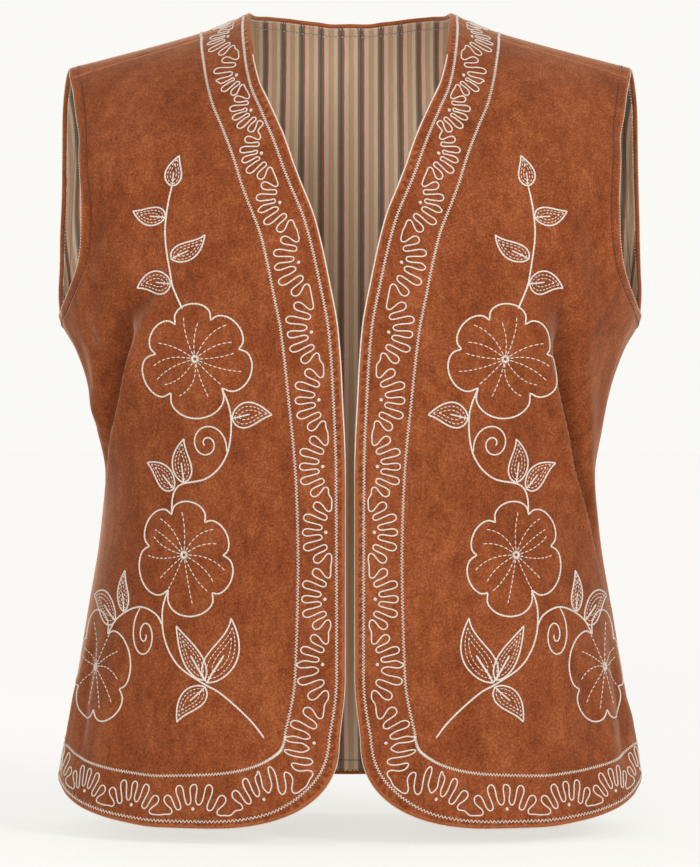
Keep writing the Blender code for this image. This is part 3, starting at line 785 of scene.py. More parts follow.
class Nodes:
    """Short ways to place and join the nodes of one material or group."""

    def __init__(self, tree):
        self.tree = tree

    def place(self, kind, settings=None, **inputs):
        node = self.tree.nodes.new(kind)
        for label, value in (settings or {}).items():
            setattr(node, label, value)
        for label, value in inputs.items():
            self.feed(node, label.replace("_", " "), value)
        return node

    def feed(self, node, label, value):
        numbered = label[0] == "i" and label[1:].isdigit()
        socket = node.inputs[int(label[1:]) if numbered else label]
        if isinstance(value, bpy.types.NodeSocket):
            self.tree.links.new(value, socket)
        else:
            socket.default_value = value

    def maths(self, operation, first, second=0.0, third=0.0):
        node = self.place("ShaderNodeMath", {"operation": operation}, i0=first, i1=second, i2=third)
        return node.outputs[0]

    def times(self, first, second):
        return self.maths("MULTIPLY", first, second)

    def plus(self, first, second):
        return self.maths("ADD", first, second)

    def minus(self, first, second):
        return self.maths("SUBTRACT", first, second)

    def blend(self, share, first, second, way="MIX"):
        node = self.place("ShaderNodeMix", {"data_type": "RGBA", "blend_type": way})
        for number, value in ((0, share), (6, first), (7, second)):
            self.feed(node, f"i{number}", value)
        return node.outputs[2]

    def noise(self, where, scale, detail=2.0, roughness=0.5):
        node = self.place("ShaderNodeTexNoise", None, Vector=where, Scale=scale, Detail=detail,
                          Roughness=roughness)
        return node.outputs["Fac"]

    def ranged(self, value, low, high, to_low=0.0, to_high=1.0):
        node = self.place("ShaderNodeMapRange", {"interpolation_type": "SMOOTHSTEP"}, Value=value)
        limits = {"From Min": low, "From Max": high, "To Min": to_low, "To Max": to_high}
        for label, number in limits.items():
            node.inputs[label].default_value = number
        return node.outputs["Result"]

    def between(self, value, start, full, still_full, end):
        """A mask that rises softly from start to full and falls softly from still_full to end."""
        return self.times(self.ranged(value, start, full), self.ranged(value, end, still_full))

    def attribute(self, name, output="Fac"):
        return self.place("ShaderNodeAttribute", {"attribute_name": name}).outputs[output]


def new_material(name, roughness):
    material = bpy.data.materials.new(name)
    material.use_nodes = True
    nodes = Nodes(material.node_tree)
    shader = material.node_tree.nodes["Principled BSDF"]
    shader.inputs["Roughness"].default_value = roughness
    shader.inputs["Metallic"].default_value = 0.0
    return material, nodes, shader


def bumped(nodes, shader, height, distance, strength=1.0):
    bump = nodes.place("ShaderNodeBump", None, Height=height, Distance=distance, Strength=strength)
    nodes.feed(shader, "Normal", bump.outputs["Normal"])


def pile_material():
    """Brushed pile: its pile lies in soft lighter and darker patches, with fine grain, pinched along sewn
    edges. Painted shade and highlight in the pinches, a painted highlight on the rolled edge, and painted
    shade in the groove by the armhole and in the creases.
    """
    material, nodes, shader = new_material("pile_rust", 0.95)
    where = nodes.place("ShaderNodeTexCoord").outputs["Object"]
    split = nodes.place("ShaderNodeSeparateXYZ", None, Vector=nodes.attribute("cloth_place", "Vector"))
    edge, run, kind = split.outputs["Z"], nodes.attribute("edge_run"), nodes.attribute("edge_kind")
    sewn = nodes.ranged(kind, 0.45, 0.2)
    at_armhole = nodes.between(kind, 0.6, 0.9, 1.1, 1.4)
    stretch = nodes.place("ShaderNodeVectorMath", {"operation": "MULTIPLY"}, i0=where, i1=NAP_STRETCH)
    patches = nodes.noise(stretch.outputs[0], PATCH_SCALE, 3.0, 0.55)
    strokes = nodes.noise(stretch.outputs[0], STROKE_SCALE, 4.0, 0.62)
    grain = nodes.noise(where, GRAIN_SCALE, 3.0, 0.7)
    nap_and_painted_light = nodes.plus(nodes.times(patches, PATCH_SHARE), nodes.times(strokes, STROKE_SHARE))
    nap_and_painted_light = nodes.plus(nap_and_painted_light, nodes.times(grain, GRAIN_SHARE))
    slant = nodes.maths("MULTIPLY_ADD", edge, 420.0, nodes.times(strokes, 17.0))
    wave = nodes.maths("SINE", nodes.maths("MULTIPLY_ADD", run, 2.0 * math.pi / PINCH_PITCH, slant))
    wave = nodes.times(wave, nodes.ranged(patches, 0.38, 0.60, 0.15, 1.0))
    pinch = nodes.times(nodes.times(wave, nodes.between(edge, 0.0002, 0.0020, 0.0035, 0.0070)), sewn)
    groove = nodes.times(nodes.between(edge, 0.0058, 0.0066, 0.0067, 0.0076), at_armhole)
    # Painted shade and highlight of the pinches along sewn edges, added to the colour on top of their bump.
    nap_and_painted_light = nodes.plus(nap_and_painted_light, nodes.times(pinch, 0.075))
    # Painted highlight on the rolled rim: the colour is lighter within 1.6 mm of the edge.
    nap_and_painted_light = nodes.plus(nap_and_painted_light, nodes.times(nodes.ranged(edge, 0.0016, 0.0004), 0.10))
    # Painted shade in the groove beside the armhole stitching, on top of its bump.
    nap_and_painted_light = nodes.minus(nap_and_painted_light, nodes.times(groove, 0.14))
    # Painted shade in the creases: the colour is darker where they are deeper.
    nap_and_painted_light = nodes.minus(nap_and_painted_light, nodes.times(nodes.attribute("fold_hollow"), 0.075))
    colour = nodes.blend(nodes.ranged(nap_and_painted_light, 0.39, 0.50), PILE_DEEP, PILE_MIDDLE)
    colour = nodes.blend(nodes.ranged(nap_and_painted_light, 0.49, 0.62), colour, PILE_LIGHT)
    nodes.feed(shader, "Base Color", colour)
    shader.inputs["Sheen Weight"].default_value = 0.60
    shader.inputs["Sheen Roughness"].default_value = 0.40
    shader.inputs["Sheen Tint"].default_value = (1.0, 0.60, 0.40, 1.0)
    shader.inputs["Specular IOR Level"].default_value = 0.15
    height = nodes.plus(nodes.times(grain, 0.25), nodes.times(strokes, 0.75))
    height = nodes.plus(height, nodes.times(pinch, 0.95))
    height = nodes.minus(height, nodes.times(groove, 0.9))
    bumped(nodes, shader, height, 0.0010, 0.6)
    return material


def lining_material():
    """Striped cotton lining: stripes down the cloth, slubby plain weave and a stitched fold, with a painted
    shadow along the fold.
    """
    material, nodes, shader = new_material("striped_lining", 0.85)
    split = nodes.place("ShaderNodeSeparateXYZ", None, Vector=nodes.attribute("cloth_place", "Vector"))
    across, down, edge = split.outputs["X"], split.outputs["Y"], split.outputs["Z"]
    slub_place = nodes.place("ShaderNodeCombineXYZ", None, X=nodes.times(across, SLUBS_ACROSS),
                             Y=nodes.times(down, SLUBS_DOWN))
    slubs = nodes.noise(slub_place.outputs[0], 1.0, 2.0, 0.6)
    turns = nodes.maths("MULTIPLY_ADD", across, 1.0 / STRIPE_CYCLE, 40.5)
    turns = nodes.maths("FRACT", nodes.maths("MULTIPLY_ADD", slubs, 0.045, turns))
    ramp = nodes.place("ShaderNodeValToRGB", None, Fac=turns)
    ramp.color_ramp.interpolation = "CONSTANT"
    stops = ramp.color_ramp.elements
    stops[0].color = STRIPES[0][1]
    stops.remove(stops[1])
    for start, colour in STRIPES[1:]:
        stops.new(start).color = colour
    fold = nodes.between(edge, 0.0068, 0.0078, 0.0079, 0.0092)
    shade = nodes.maths("MULTIPLY_ADD", slubs, 0.30, 0.83)
    # Painted shadow along the stitched fold: the colour is darker there, on top of the fold's bump.
    shade = nodes.times(shade, nodes.maths("MULTIPLY_ADD", fold, -0.38, 1.0))
    nodes.feed(shader, "Base Color", nodes.blend(1.0, ramp.outputs["Color"], shade, "MULTIPLY"))
    weft = nodes.maths("SINE", nodes.times(down, 2.0 * math.pi / WEFT_PITCH))
    warp = nodes.maths("SINE", nodes.times(across, 2.0 * math.pi / WARP_PITCH))
    weave = nodes.maths("MULTIPLY_ADD", slubs, 1.5, nodes.times(weft, warp))
    bumped(nodes, shader, nodes.minus(weave, nodes.times(fold, 3.0)), 0.0002, 0.5)
    return material


def thread_tone():
    """Node group for all thread: its colour, slightly uneven from place to place."""
    group = bpy.data.node_groups.new("thread_tone", "ShaderNodeTree")
    group.interface.new_socket("Thread Colour", in_out="INPUT", socket_type="NodeSocketColor")
    group.interface.new_socket("Toned Colour", in_out="OUTPUT", socket_type="NodeSocketColor")
    nodes = Nodes(group)
    colour = nodes.place("NodeGroupInput").outputs["Thread Colour"]
    where = nodes.place("ShaderNodeTexCoord").outputs["Object"]
    shade = nodes.ranged(nodes.noise(where, THREAD_TONE_SCALE), 0.3, 0.7, 0.80, 1.05)
    toned = nodes.blend(1.0, colour, shade, "MULTIPLY")
    nodes.feed(nodes.place("NodeGroupOutput"), "Toned Colour", toned)
    return group


def thread_material(name, tone, colour):
    """Cotton thread."""
    material, nodes, shader = new_material(name, 0.75)
    toned = nodes.place("ShaderNodeGroup", {"node_tree": tone})
    toned.inputs["Thread Colour"].default_value = colour
    nodes.feed(shader, "Base Color", toned.outputs["Toned Colour"])
    shader.inputs["Sheen Weight"].default_value = 0.2
    shader.inputs["Specular IOR Level"].default_value = 0.3
    return material


def floor_material():
    """Pale studio floor: it looks as bright as the backdrop, and lights the cloth more softly."""
    material, nodes, shader = new_material("pale_floor", 0.9)
    shader.inputs["Base Color"].default_value = FLOOR_WHITE
    shader.inputs["Specular IOR Level"].default_value = 0.0
    seen = nodes.place("ShaderNodeLightPath").outputs["Is Camera Ray"]
    where = nodes.place("ShaderNodeTexCoord").outputs["Object"]
    away = nodes.place("ShaderNodeVectorMath", {"operation": "LENGTH"}, i0=where).outputs["Value"]
    spread = nodes.maths("MULTIPLY_ADD", nodes.times(away, away), FLOOR_REACH ** -2, 1.0)
    looks = nodes.blend(nodes.maths("DIVIDE", 1.0, spread), FLOOR_FAR, FLOOR_NEAR)
    nodes.feed(shader, "Emission Color", nodes.blend(seen, FLOOR_GLOW, looks))
    shader.inputs["Emission Strength"].default_value = 1.0
    return material


# ---- thread

CORD_SIDES = 6
STITCH_SIDES = 5
STRAND_SIDES = 4
CORD_WIDTH = 0.0012
CORD_FLATNESS = 0.75
STITCH_FLATNESS = 0.8
STITCH_LOW, STITCH_HIGH = -0.0001, 0.0003
CORD_OUT = 0.00025
CORD_PLY = 0.0022
CORD_STEP = 0.0009
PLY_SWELL = 0.24
TIP_SHARE = 0.6
TIP_LENGTH = 0.3
CURVE_STEPS = 12


class Threads:
    """Lengths of thread laid on cloth, gathered into one mesh."""

    def __init__(self):
        self.points, self.quads, self.triangles, self.count = [], [], [], 0

    def add(self, points, quads, triangles):
        self.points.append(points)
        self.quads.append(quads + self.count)
        self.triangles.append(triangles + self.count)
        self.count += len(points)

    def lay(self, centres, facing, width, height, sides, ply=None, tips=TIP_SHARE):
        """Lays one thread for each row of centre points. The ply is the length of one twist."""
        if centres.ndim == 2:
            centres, facing = centres[None], facing[None]
        rows, steps = centres.shape[:2]
        ahead = unit(np.gradient(centres, axis=1))
        beside = unit(np.cross(ahead, facing))
        above = np.cross(beside, ahead)
        turn = np.radians(np.arange(sides) * 360.0 / sides)
        swell = np.ones((rows, steps, sides))
        if ply:
            step = np.linalg.norm(np.diff(centres, axis=1), axis=-1)
            run = np.concatenate((np.zeros((rows, 1)), np.cumsum(step, axis=1)), axis=1)
            swell += PLY_SWELL * np.cos(2.0 * turn - 2.0 * np.pi * (run / ply)[..., None])
        swell[:, (0, -1)] *= tips
        ring = beside[:, :, None] * (swell * np.cos(turn) * width / 2.0)[..., None]
        ring = ring + above[:, :, None] * (swell * np.sin(turn) * height / 2.0)[..., None]
        reach = ahead * height * TIP_LENGTH
        ends = np.stack((centres[:, 0] - reach[:, 0], centres[:, -1] + reach[:, -1]), axis=1)
        each = steps * sides
        skin = (centres[:, :, None] + ring).reshape(rows, each, 3)
        start = (np.arange(rows) * (each + 2))[:, None]
        side = np.arange(sides)[None, :]
        following = (side + 1) % sides
        near = start[:, None] + np.arange(steps - 1)[None, :, None] * sides
        far = near + sides
        quads = self.faces(near + side, near + following, far + following, far + side)
        last = start + (steps - 1) * sides
        first_cap = self.faces(start + following, start + side, start + each)
        last_cap = self.faces(last + side, last + following, start + each + 1)
        points = np.concatenate((skin, ends), axis=1).reshape(-1, 3)
        self.add(points, quads, np.concatenate((first_cap, last_cap)))

    @staticmethod
    def faces(*corners):
        return np.stack(np.broadcast_arrays(*corners), axis=-1).reshape(-1, len(corners))

    def piece(self, name, material):
        faces = [np.concatenate(self.quads), np.concatenate(self.triangles)]
        made = mesh_piece(name, np.concatenate(self.points), faces, {}, material)
        dress(made, None)
        return made


def lengths_along(points):
    """Distance along a run of points, from 0 at its first."""
    steps = np.linalg.norm(np.diff(points, axis=0), axis=1)
    return np.concatenate(((0.0,), np.cumsum(steps)))


def read_columns(at, stations, points):
    """Each column of a run of points, read in straight lines between these stations."""
    return np.stack([np.interp(at, stations, column) for column in points.T], axis=-1)


def smooth_run(controls, step):
    """Evenly spaced points, about this far apart, on a smooth curve through control points."""
    controls = np.asarray(controls, float)
    first = 2.0 * controls[0] - controls[1]
    last = 2.0 * controls[-1] - controls[-2]
    padded = np.concatenate((first[None], controls, last[None]))
    part = np.linspace(0.0, 1.0, CURVE_STEPS, endpoint=False)[:, None]
    rest = 1.0 - part
    pieces = []
    for before, start, end, after in zip(padded, padded[1:], padded[2:], padded[3:]):
        leaving, arriving = (end - before) / 2.0, (after - start) / 2.0
        pieces.append(start * (1.0 + 2.0 * part) * rest ** 2 + end * (3.0 - 2.0 * part) * part ** 2
                      + leaving * part * rest ** 2 - arriving * part ** 2 * rest)
    points = np.concatenate(pieces + [controls[-1:]])
    length = lengths_along(points)
    count = max(int(round(length[-1] / step)), 2)
    return read_columns(np.linspace(0.0, length[-1], count + 1), length, points)


def dashes(run, stitch, gap, points=4):
    """Rows of points, one row for each running stitch along a curve of finely spaced points."""
    length = lengths_along(run)
    count = max(int((length[-1] + gap) / (stitch + gap)), 1)
    pitch = (length[-1] + gap) / count
    at = np.arange(count)[:, None] * pitch + np.linspace(0.0, pitch - gap, points)
    return read_columns(at, length, run)


def arched(count, low=STITCH_LOW, high=STITCH_HIGH):
    """Heights for a row of points that rises from the cloth and goes down into it again."""
    return mix(low, high, np.sin(np.pi * np.linspace(0.0, 1.0, count)) ** 0.7)


def lay_on(threads, panel, places, out, width, height, sides, inside=False, ply=None, tips=TIP_SHARE):
    """Lays thread on the outer face, or on the lining inside, this far out from it."""
    facing = normals(cloth_face, panel, places[..., 0], places[..., 1])
    out = np.broadcast_to(out, places.shape[:-1])
    if inside:
        facing, out = -facing, -out - LINING_DEPTH - LINING_WALL
    threads.lay(cloth(panel, places, out), facing, width, height, sides, ply, tips)


class Motif:
    """Thread work on one front, drawn in metres across from the centre line and down the cloth."""

    def __init__(self, threads, side):
        self.threads, self.side = threads, side

    def lay(self, run, out, width, height, sides, ply=None):
        places = places_at("front", self.side * run[..., 0], run[..., 1])
        lay_on(self.threads, "front", places, out, width, height, sides, ply=ply)

    def cord(self, run, width=CORD_WIDTH):
        self.lay(run, CORD_OUT, width, width * CORD_FLATNESS, CORD_SIDES, CORD_PLY)

    def stitches(self, rows, width, low=STITCH_LOW, high=STITCH_HIGH):
        self.lay(rows, arched(rows.shape[1], low, high), width, width * STITCH_FLATNESS, STITCH_SIDES)

    def running(self, run, stitch=0.0023, gap=0.0011, width=0.0008):
        self.stitches(dashes(run, stitch, gap), width)


# Directions are degrees, 0 up the cloth and 90 towards the centre front. A cusp between two petals is
# its direction and distance, and a ray is its direction, length and bend.
FLOWERS = (
    {"centre": (0.1047, 0.2453),
     "cusps": ((-30.0, 0.0268), (24.0, 0.0278), (78.0, 0.0308), (137.0, 0.0271), (220.0, 0.0298),
               (278.0, 0.0290)),
     "reach": (0.0368, 0.0368, 0.0396, 0.0402, 0.0416, 0.0352),
     "rays": ((336, 0.0286, 11), (356, 0.0240, 13), (27, 0.0310, 21), (53, 0.0278, 17), (89, 0.0272, -8),
              (113, 0.0330, -9), (137, 0.0245, -3), (167, 0.0268, -7), (177, 0.0281, 37), (215, 0.0295, 23),
              (256, 0.0325, -13), (280, 0.0315, -21), (303, 0.0287, -12))},
    {"centre": (0.1158, 0.3787),
     "cusps": ((-20.0, 0.0291), (35.0, 0.0271), (90.0, 0.0289), (140.0, 0.0332), (206.0, 0.0267),
               (281.0, 0.0290)),
     "reach": (0.0365, 0.0345, 0.0385, 0.0420, 0.0385, 0.0380),
     "rays": ((4, 0.0291, -9), (339, 0.0315, -21), (312, 0.0296, -8), (284, 0.0278, 15), (257, 0.0293, 14),
              (29, 0.0279, 27), (57, 0.0254, 19), (90, 0.0315, 22), (116, 0.0281, 16), (154, 0.0299, -12),
              (170, 0.0335, -2), (204, 0.0262, 3), (230, 0.0245, -1))},
    {"centre": (0.1962, 0.4570),
     "cusps": ((-52.0, 0.0290), (31.0, 0.0266), (116.0, 0.0320), (176.0, 0.0294), (240.0, 0.0290)),
     "reach": (0.0392, 0.0385, 0.0408, 0.0372, 0.0385),
     "rays": ((348, 0.0318, -6), (34, 0.0270, 0), (62, 0.0279, 5), (83, 0.0274, 28), (128, 0.0316, 11),
              (158, 0.0295, 5), (196, 0.0273, 3), (250, 0.0270, -12), (276, 0.0240, 10), (304, 0.0260, -8))},
)
PETAL_POINTS = 9
PETAL_SHOULDER = 0.055     # how far a petal's points lean out from its middle
PETAL_ROUNDNESS = 0.72
RAY_POINTS = 16
RAY_START = 0.0034
RAY_BEND_POWER = 1.5
RING_STITCHES = 16
RING_START, RING_END = 0.0011, 0.0031
RING_WIDTH = 0.0009
RING_HIGH = 0.0006


def from_up(turn, distance):
    """Offset on the cloth for a direction, 0 up the cloth and 90 towards the centre front."""
    return np.stack((-np.sin(np.radians(turn)) * distance, -np.cos(np.radians(turn)) * distance), axis=-1)


def sew_flower(motif, flower):
    centre = np.array(flower["centre"])
    cusps = flower["cusps"]
    part = np.linspace(0.0, 1.0, PETAL_POINTS)
    wide = part - PETAL_SHOULDER * np.sin(2.0 * np.pi * part)
    for (turn, distance), (next_turn, next_distance), reach in zip(
            cusps, cusps[1:] + cusps[:1], flower["reach"]):
        if next_turn < turn:
            next_turn += 360.0
        height = reach - (distance + next_distance) / 2.0
        rise = height * np.sin(np.pi * part) ** PETAL_ROUNDNESS
        run = centre + from_up(mix(turn, next_turn, wide), mix(distance, next_distance, part) + rise)
        motif.cord(smooth_run(run, CORD_STEP))
    for turn, length, bend in flower["rays"]:
        along = np.linspace(RAY_START, length, RAY_POINTS)
        bent = bend * ((along - RAY_START) / length) ** RAY_BEND_POWER
        motif.running(centre + from_up(turn + bent, along))
    turn = np.arange(RING_STITCHES)[:, None] * 360.0 / RING_STITCHES
    rows = centre + from_up(turn, np.linspace(RING_START, RING_END, 4)[None])
    motif.stitches(rows, RING_WIDTH, high=RING_HIGH)


LEAF_COLUMNS = ("base", "tip", "width", "hook")
LEAVES = (
    ((0.1238, 0.1201), (0.1200, 0.1002), 0.60, 0.080),
    ((0.1272, 0.1443), (0.1517, 0.1365), 0.57, 0.065),
    ((0.1220, 0.1764), (0.0987, 0.1598), 0.49, -0.095),
    ((0.1213, 0.1942), (0.1482, 0.1966), 0.62, -0.120),
    ((0.0801, 0.2854), (0.0526, 0.2833), 0.61, 0.080),
    ((0.1164, 0.3296), (0.1153, 0.2996), 0.50, 0.085),
    ((0.1240, 0.3338), (0.1475, 0.3159), 0.48, -0.080),
    ((0.1662, 0.4183), (0.1673, 0.3901), 0.41, 0.075),
    ((0.1745, 0.4247), (0.2125, 0.4087), 0.44, -0.100),
    ((0.0978, 0.4652), (0.0811, 0.4212), 0.43, -0.110),
    ((0.0996, 0.4634), (0.1208, 0.4269), 0.32, 0.015),
    ((0.0991, 0.4678), (0.1194, 0.4919), 0.48, -0.085),
)
# Dashed lines inside a leaf: how far they spread, and where they start and end on its length.
LEAF_LINES = ((0.68, 0.07, 0.88), (0.36, 0.18, 0.74))
LEAF_POINTS = 15
LEAF_ROUNDNESS = 0.68
LEAF_HOOK_POWER = 1.6
LEAF_STITCH, LEAF_GAP, LEAF_STRAND = 0.0018, 0.0009, 0.0007
FINE_STEP = 0.0004
VEIN_SHARE = 0.46
VEIN_WIDTH = 0.0005        # a vein is this wide, and this much of its leaf's length wider
VEIN_GROWTH = 0.022


def leaf_side(leaf, spread, start, end, side):
    """One side of a leaf, or of a line inside it, from its base to its tip."""
    base, tip = np.array(leaf["base"]), np.array(leaf["tip"])
    length = np.linalg.norm(tip - base)
    along_way = (tip - base) / length
    side_way = np.array((-along_way[1], along_way[0]))
    inner = np.linspace(0.0, 1.0, LEAF_POINTS)
    part = mix(start, end, inner)
    half = leaf["width"] * length / 2.0 * spread * np.sin(np.pi * inner ** LEAF_ROUNDNESS)
    bow = leaf["hook"] * length * (1.0 - (2.0 * part ** LEAF_HOOK_POWER - 1.0) ** 2)
    return base + along_way * (part * length)[:, None] + side_way * (bow + side * half)[:, None]


def sew_leaf(motif, row):
    leaf = dict(zip(LEAF_COLUMNS, row))
    for side in (-1.0, 1.0):
        motif.cord(smooth_run(leaf_side(leaf, 1.0, 0.0, 1.0, side), CORD_STEP))
    for spread, start, end in LEAF_LINES:
        for side in (-1.0, 1.0):
            line = smooth_run(leaf_side(leaf, spread, start, end, side), FINE_STEP)
            motif.running(line, LEAF_STITCH, LEAF_GAP, LEAF_STRAND)
    vein = smooth_run(leaf_side(leaf, 0.0, 0.0, VEIN_SHARE, 1.0), CORD_STEP)
    length = math.dist(leaf["base"], leaf["tip"])
    motif.cord(vein, width=VEIN_WIDTH + VEIN_GROWTH * length)


STEMS = (
    ((0.1239, 0.1204), (0.1256, 0.1313), (0.1268, 0.1443), (0.1270, 0.1574), (0.1250, 0.1735),
     (0.1213, 0.1921), (0.1172, 0.2026), (0.1131, 0.2118)),
    ((0.0864, 0.2652), (0.0825, 0.2746), (0.0806, 0.2835), (0.0807, 0.2938), (0.0819, 0.3028),
     (0.0847, 0.3117), (0.0910, 0.3207), (0.1006, 0.3272), (0.1161, 0.3301), (0.1222, 0.3335),
     (0.1252, 0.3402), (0.1257, 0.3512)),
    ((0.1275, 0.4027), (0.1309, 0.4118), (0.1319, 0.4207), (0.1304, 0.4335), (0.1250, 0.4460),
     (0.1163, 0.4560), (0.0999, 0.4659), (0.0891, 0.4715), (0.0760, 0.4820), (0.0656, 0.4921),
     (0.0583, 0.5014)),
    ((0.1317, 0.4265), (0.1360, 0.4202), (0.1440, 0.4159), (0.1524, 0.4148), (0.1631, 0.4179),
     (0.1744, 0.4244), (0.1823, 0.4340)),
)
CURL_COLUMNS = ("root", "centre", "turns", "way", "squeeze")
CURLS = (
    ((0.0840, 0.3085), (0.0983, 0.3028), 1.66, 1.0, 0.94),
    ((0.1507, 0.4153), (0.1461, 0.4338), 1.72, 1.0, 0.62),
)
CURL_END = 0.0019
CURL_POINTS = 28
CURL_POWER = 0.68
CURL_WIDTH = 0.0011
STEM_WIDTH = 0.0013


def sew_curl(motif, row):
    """A tendril: it leaves the stem at its root and winds in round its centre."""
    curl = dict(zip(CURL_COLUMNS, row))
    root, centre = np.array(curl["root"]), np.array(curl["centre"])
    span = (root - centre) / (curl["squeeze"], 1.0)
    part = np.linspace(0.0, 1.0, CURL_POINTS)
    turn = math.atan2(span[1], span[0]) + curl["way"] * 2.0 * math.pi * curl["turns"] * part
    radius = mix(np.linalg.norm(span), CURL_END, part ** CURL_POWER)
    run = centre + np.stack((np.cos(turn) * radius * curl["squeeze"], np.sin(turn) * radius), axis=-1)
    motif.cord(smooth_run(run, CORD_STEP), width=CURL_WIDTH)


def sew_vine(threads, side):
    motif = Motif(threads, side)
    for flower in FLOWERS:
        sew_flower(motif, flower)
    for row in LEAVES:
        sew_leaf(motif, row)
    for stem in STEMS:
        motif.cord(smooth_run(stem, CORD_STEP), width=STEM_WIDTH)
    for row in CURLS:
        sew_curl(motif, row)


# ---- bands of sewing along edges

BAND_STEP = 0.002
BAND_DEPTH = 0.050
BAND_PITCH = 0.002
CALM_STEPS = 22
CALM_REACH = 2.0


class Band:
    """Places beside an edge, told by the distance along it and the distance in from it."""

    def __init__(self, panel, edge, side_in):
        self.panel = panel
        run = lengths_along(form(panel, edge[:, 0], edge[:, 1]))
        self.length = run[-1]
        at = np.linspace(0.0, self.length, int(self.length / BAND_STEP) + 1)
        places = read_columns(at, run, edge)
        points = form(panel, places[:, 0], places[:, 1])
        facing = normals(form, panel, places[:, 0], places[:, 1])
        way = self.calmed(unit(np.cross(facing, np.gradient(points, axis=0))) * side_in)
        self.rows = [places]
        for _ in range(int(BAND_DEPTH / BAND_PITCH)):
            places = places + place_shift(panel, places, way * BAND_PITCH)
            facing = normals(form, panel, places[:, 0], places[:, 1])
            way = unit(way - facing * np.sum(way * facing, axis=-1, keepdims=True))
            self.rows.append(places)
        self.rows = np.stack(self.rows, axis=1)

    @staticmethod
    def calmed(way):
        """The ways in, each averaged with its neighbours so that lines round a corner stay round."""
        weight = np.exp(-np.linspace(-CALM_REACH, CALM_REACH, 2 * CALM_STEPS + 1) ** 2)
        padded = np.pad(way, ((CALM_STEPS, CALM_STEPS), (0, 0)), mode="reflect", reflect_type="odd")
        columns = [np.convolve(column, weight, mode="valid") for column in padded.T]
        return unit(np.stack(columns, axis=-1))

    def places(self, along, inset):
        along, inset = np.broadcast_arrays(np.asarray(along, float), np.asarray(inset, float))
        rows, columns = self.rows.shape[:2]
        row = np.clip(along / self.length * (rows - 1), 0.0, rows - 1.001)
        column = np.clip(inset / BAND_PITCH, 0.0, columns - 1.001)
        top, left = row.astype(int), column.astype(int)
        down, across = (row - top)[..., None], (column - left)[..., None]
        upper = mix(self.rows[top, left], self.rows[top, left + 1], across)
        lower = mix(self.rows[top + 1, left], self.rows[top + 1, left + 1], across)
        return mix(upper, lower, down)


def long_edge():
    """Places of a front's sewn edge: from the shoulder seam down, round the corner, to the side."""
    top = seam_corner(0.0)[1]
    down = front_edge(np.linspace(top, CORNER_LEVEL, 700, endpoint=False))
    turn = np.radians(np.linspace(0.0, 90.0, 200, endpoint=False))
    corner = front_edge(mix(CORNER_LEVEL, LOWEST_LEVEL, np.sin(turn) ** (2.0 / CORNER_SQUARENESS)))
    across = read(FRONT_EDGE, FRONT_EDGE_COLUMNS, "across", LOWEST_LEVEL) + CORNER_WIDTH
    angles = np.linspace(angle_at(across, LOWEST_LEVEL), 90.0, 300)
    hem = places_of(angles, read(FRONT_HEM, HEM_COLUMNS, "level", angles))
    return np.concatenate((down, corner, hem))


def neck_edge_of_back():
    """Places of half the back's neck edge, from the shoulder seam over the ridge to the middle."""
    ahead = over_ridge(front_edge(np.linspace(seam_corner(0.0)[1], RIDGE_LEVEL, 60, endpoint=False)))
    behind = back_neck(np.linspace(len(BACK_NECK) - 1.0, 0.0, 240))
    return np.concatenate((ahead, behind))


def hem_of_back():
    angles = np.linspace(90.0, 0.0, 400)
    return places_of(angles, read(BACK_HEM, HEM_COLUMNS, "level", angles))


INSET_COLUMNS = ("along", "inset")
OUTER_LINE = (
    (0.000, 0.0052), (0.049, 0.0066), (0.084, 0.0076), (0.125, 0.0084), (0.167, 0.0077), (0.249, 0.0068),
    (0.524, 0.0057), (0.553, 0.0076), (0.588, 0.0088), (0.617, 0.0056), (0.669, 0.0046), (0.714, 0.0044),
    (0.750, 0.0038), (0.853, 0.0036),
)
INNER_LINE = (
    (0.000, 0.0366), (0.065, 0.0362), (0.103, 0.0372), (0.141, 0.0386), (0.243, 0.0388), (0.421, 0.0318),
    (0.512, 0.0341), (0.588, 0.0402), (0.624, 0.0386), (0.669, 0.0361), (0.749, 0.0330), (0.821, 0.0290),
    (0.853, 0.0285),
)
PITCH_COLUMNS = ("along", "pitch")
OUTER_PITCH = ((0.000, 0.0017), (0.250, 0.0020), (0.540, 0.0022), (0.640, 0.0027), (0.853, 0.0027))
INNER_PITCH = ((0.000, 0.0018), (0.250, 0.0021), (0.540, 0.0023), (0.640, 0.0024), (0.853, 0.0022))
ZIGZAG_WIDTH = 0.0019
STRAND = 0.00062
STRAND_HEIGHTS = (0.0, 0.00035, 0.00005)
STRAND_TIP_SHARE = 0.9
LINE_CALM = (-0.012, 0.0, 0.012)
SEAM_MARGIN = 0.0008
FANS = (
    (-0.0180, 0.0160), (0.0195, 0.0165), (0.0655, 0.0148), (0.0974, 0.0142), (0.1316, 0.0190),
    (0.1688, 0.0188), (0.2145, 0.0181), (0.2647, 0.0182), (0.3118, 0.0161), (0.3577, 0.0150),
    (0.4025, 0.0130), (0.4477, 0.0136), (0.4920, 0.0150), (0.5480, 0.0170), (0.6214, 0.0157),
    (0.6755, 0.0130), (0.7240, 0.0125), (0.7710, 0.0120), (0.8170, 0.0115), (0.8640, 0.0115),
)
FAN_HALF_PITCH = 0.0243
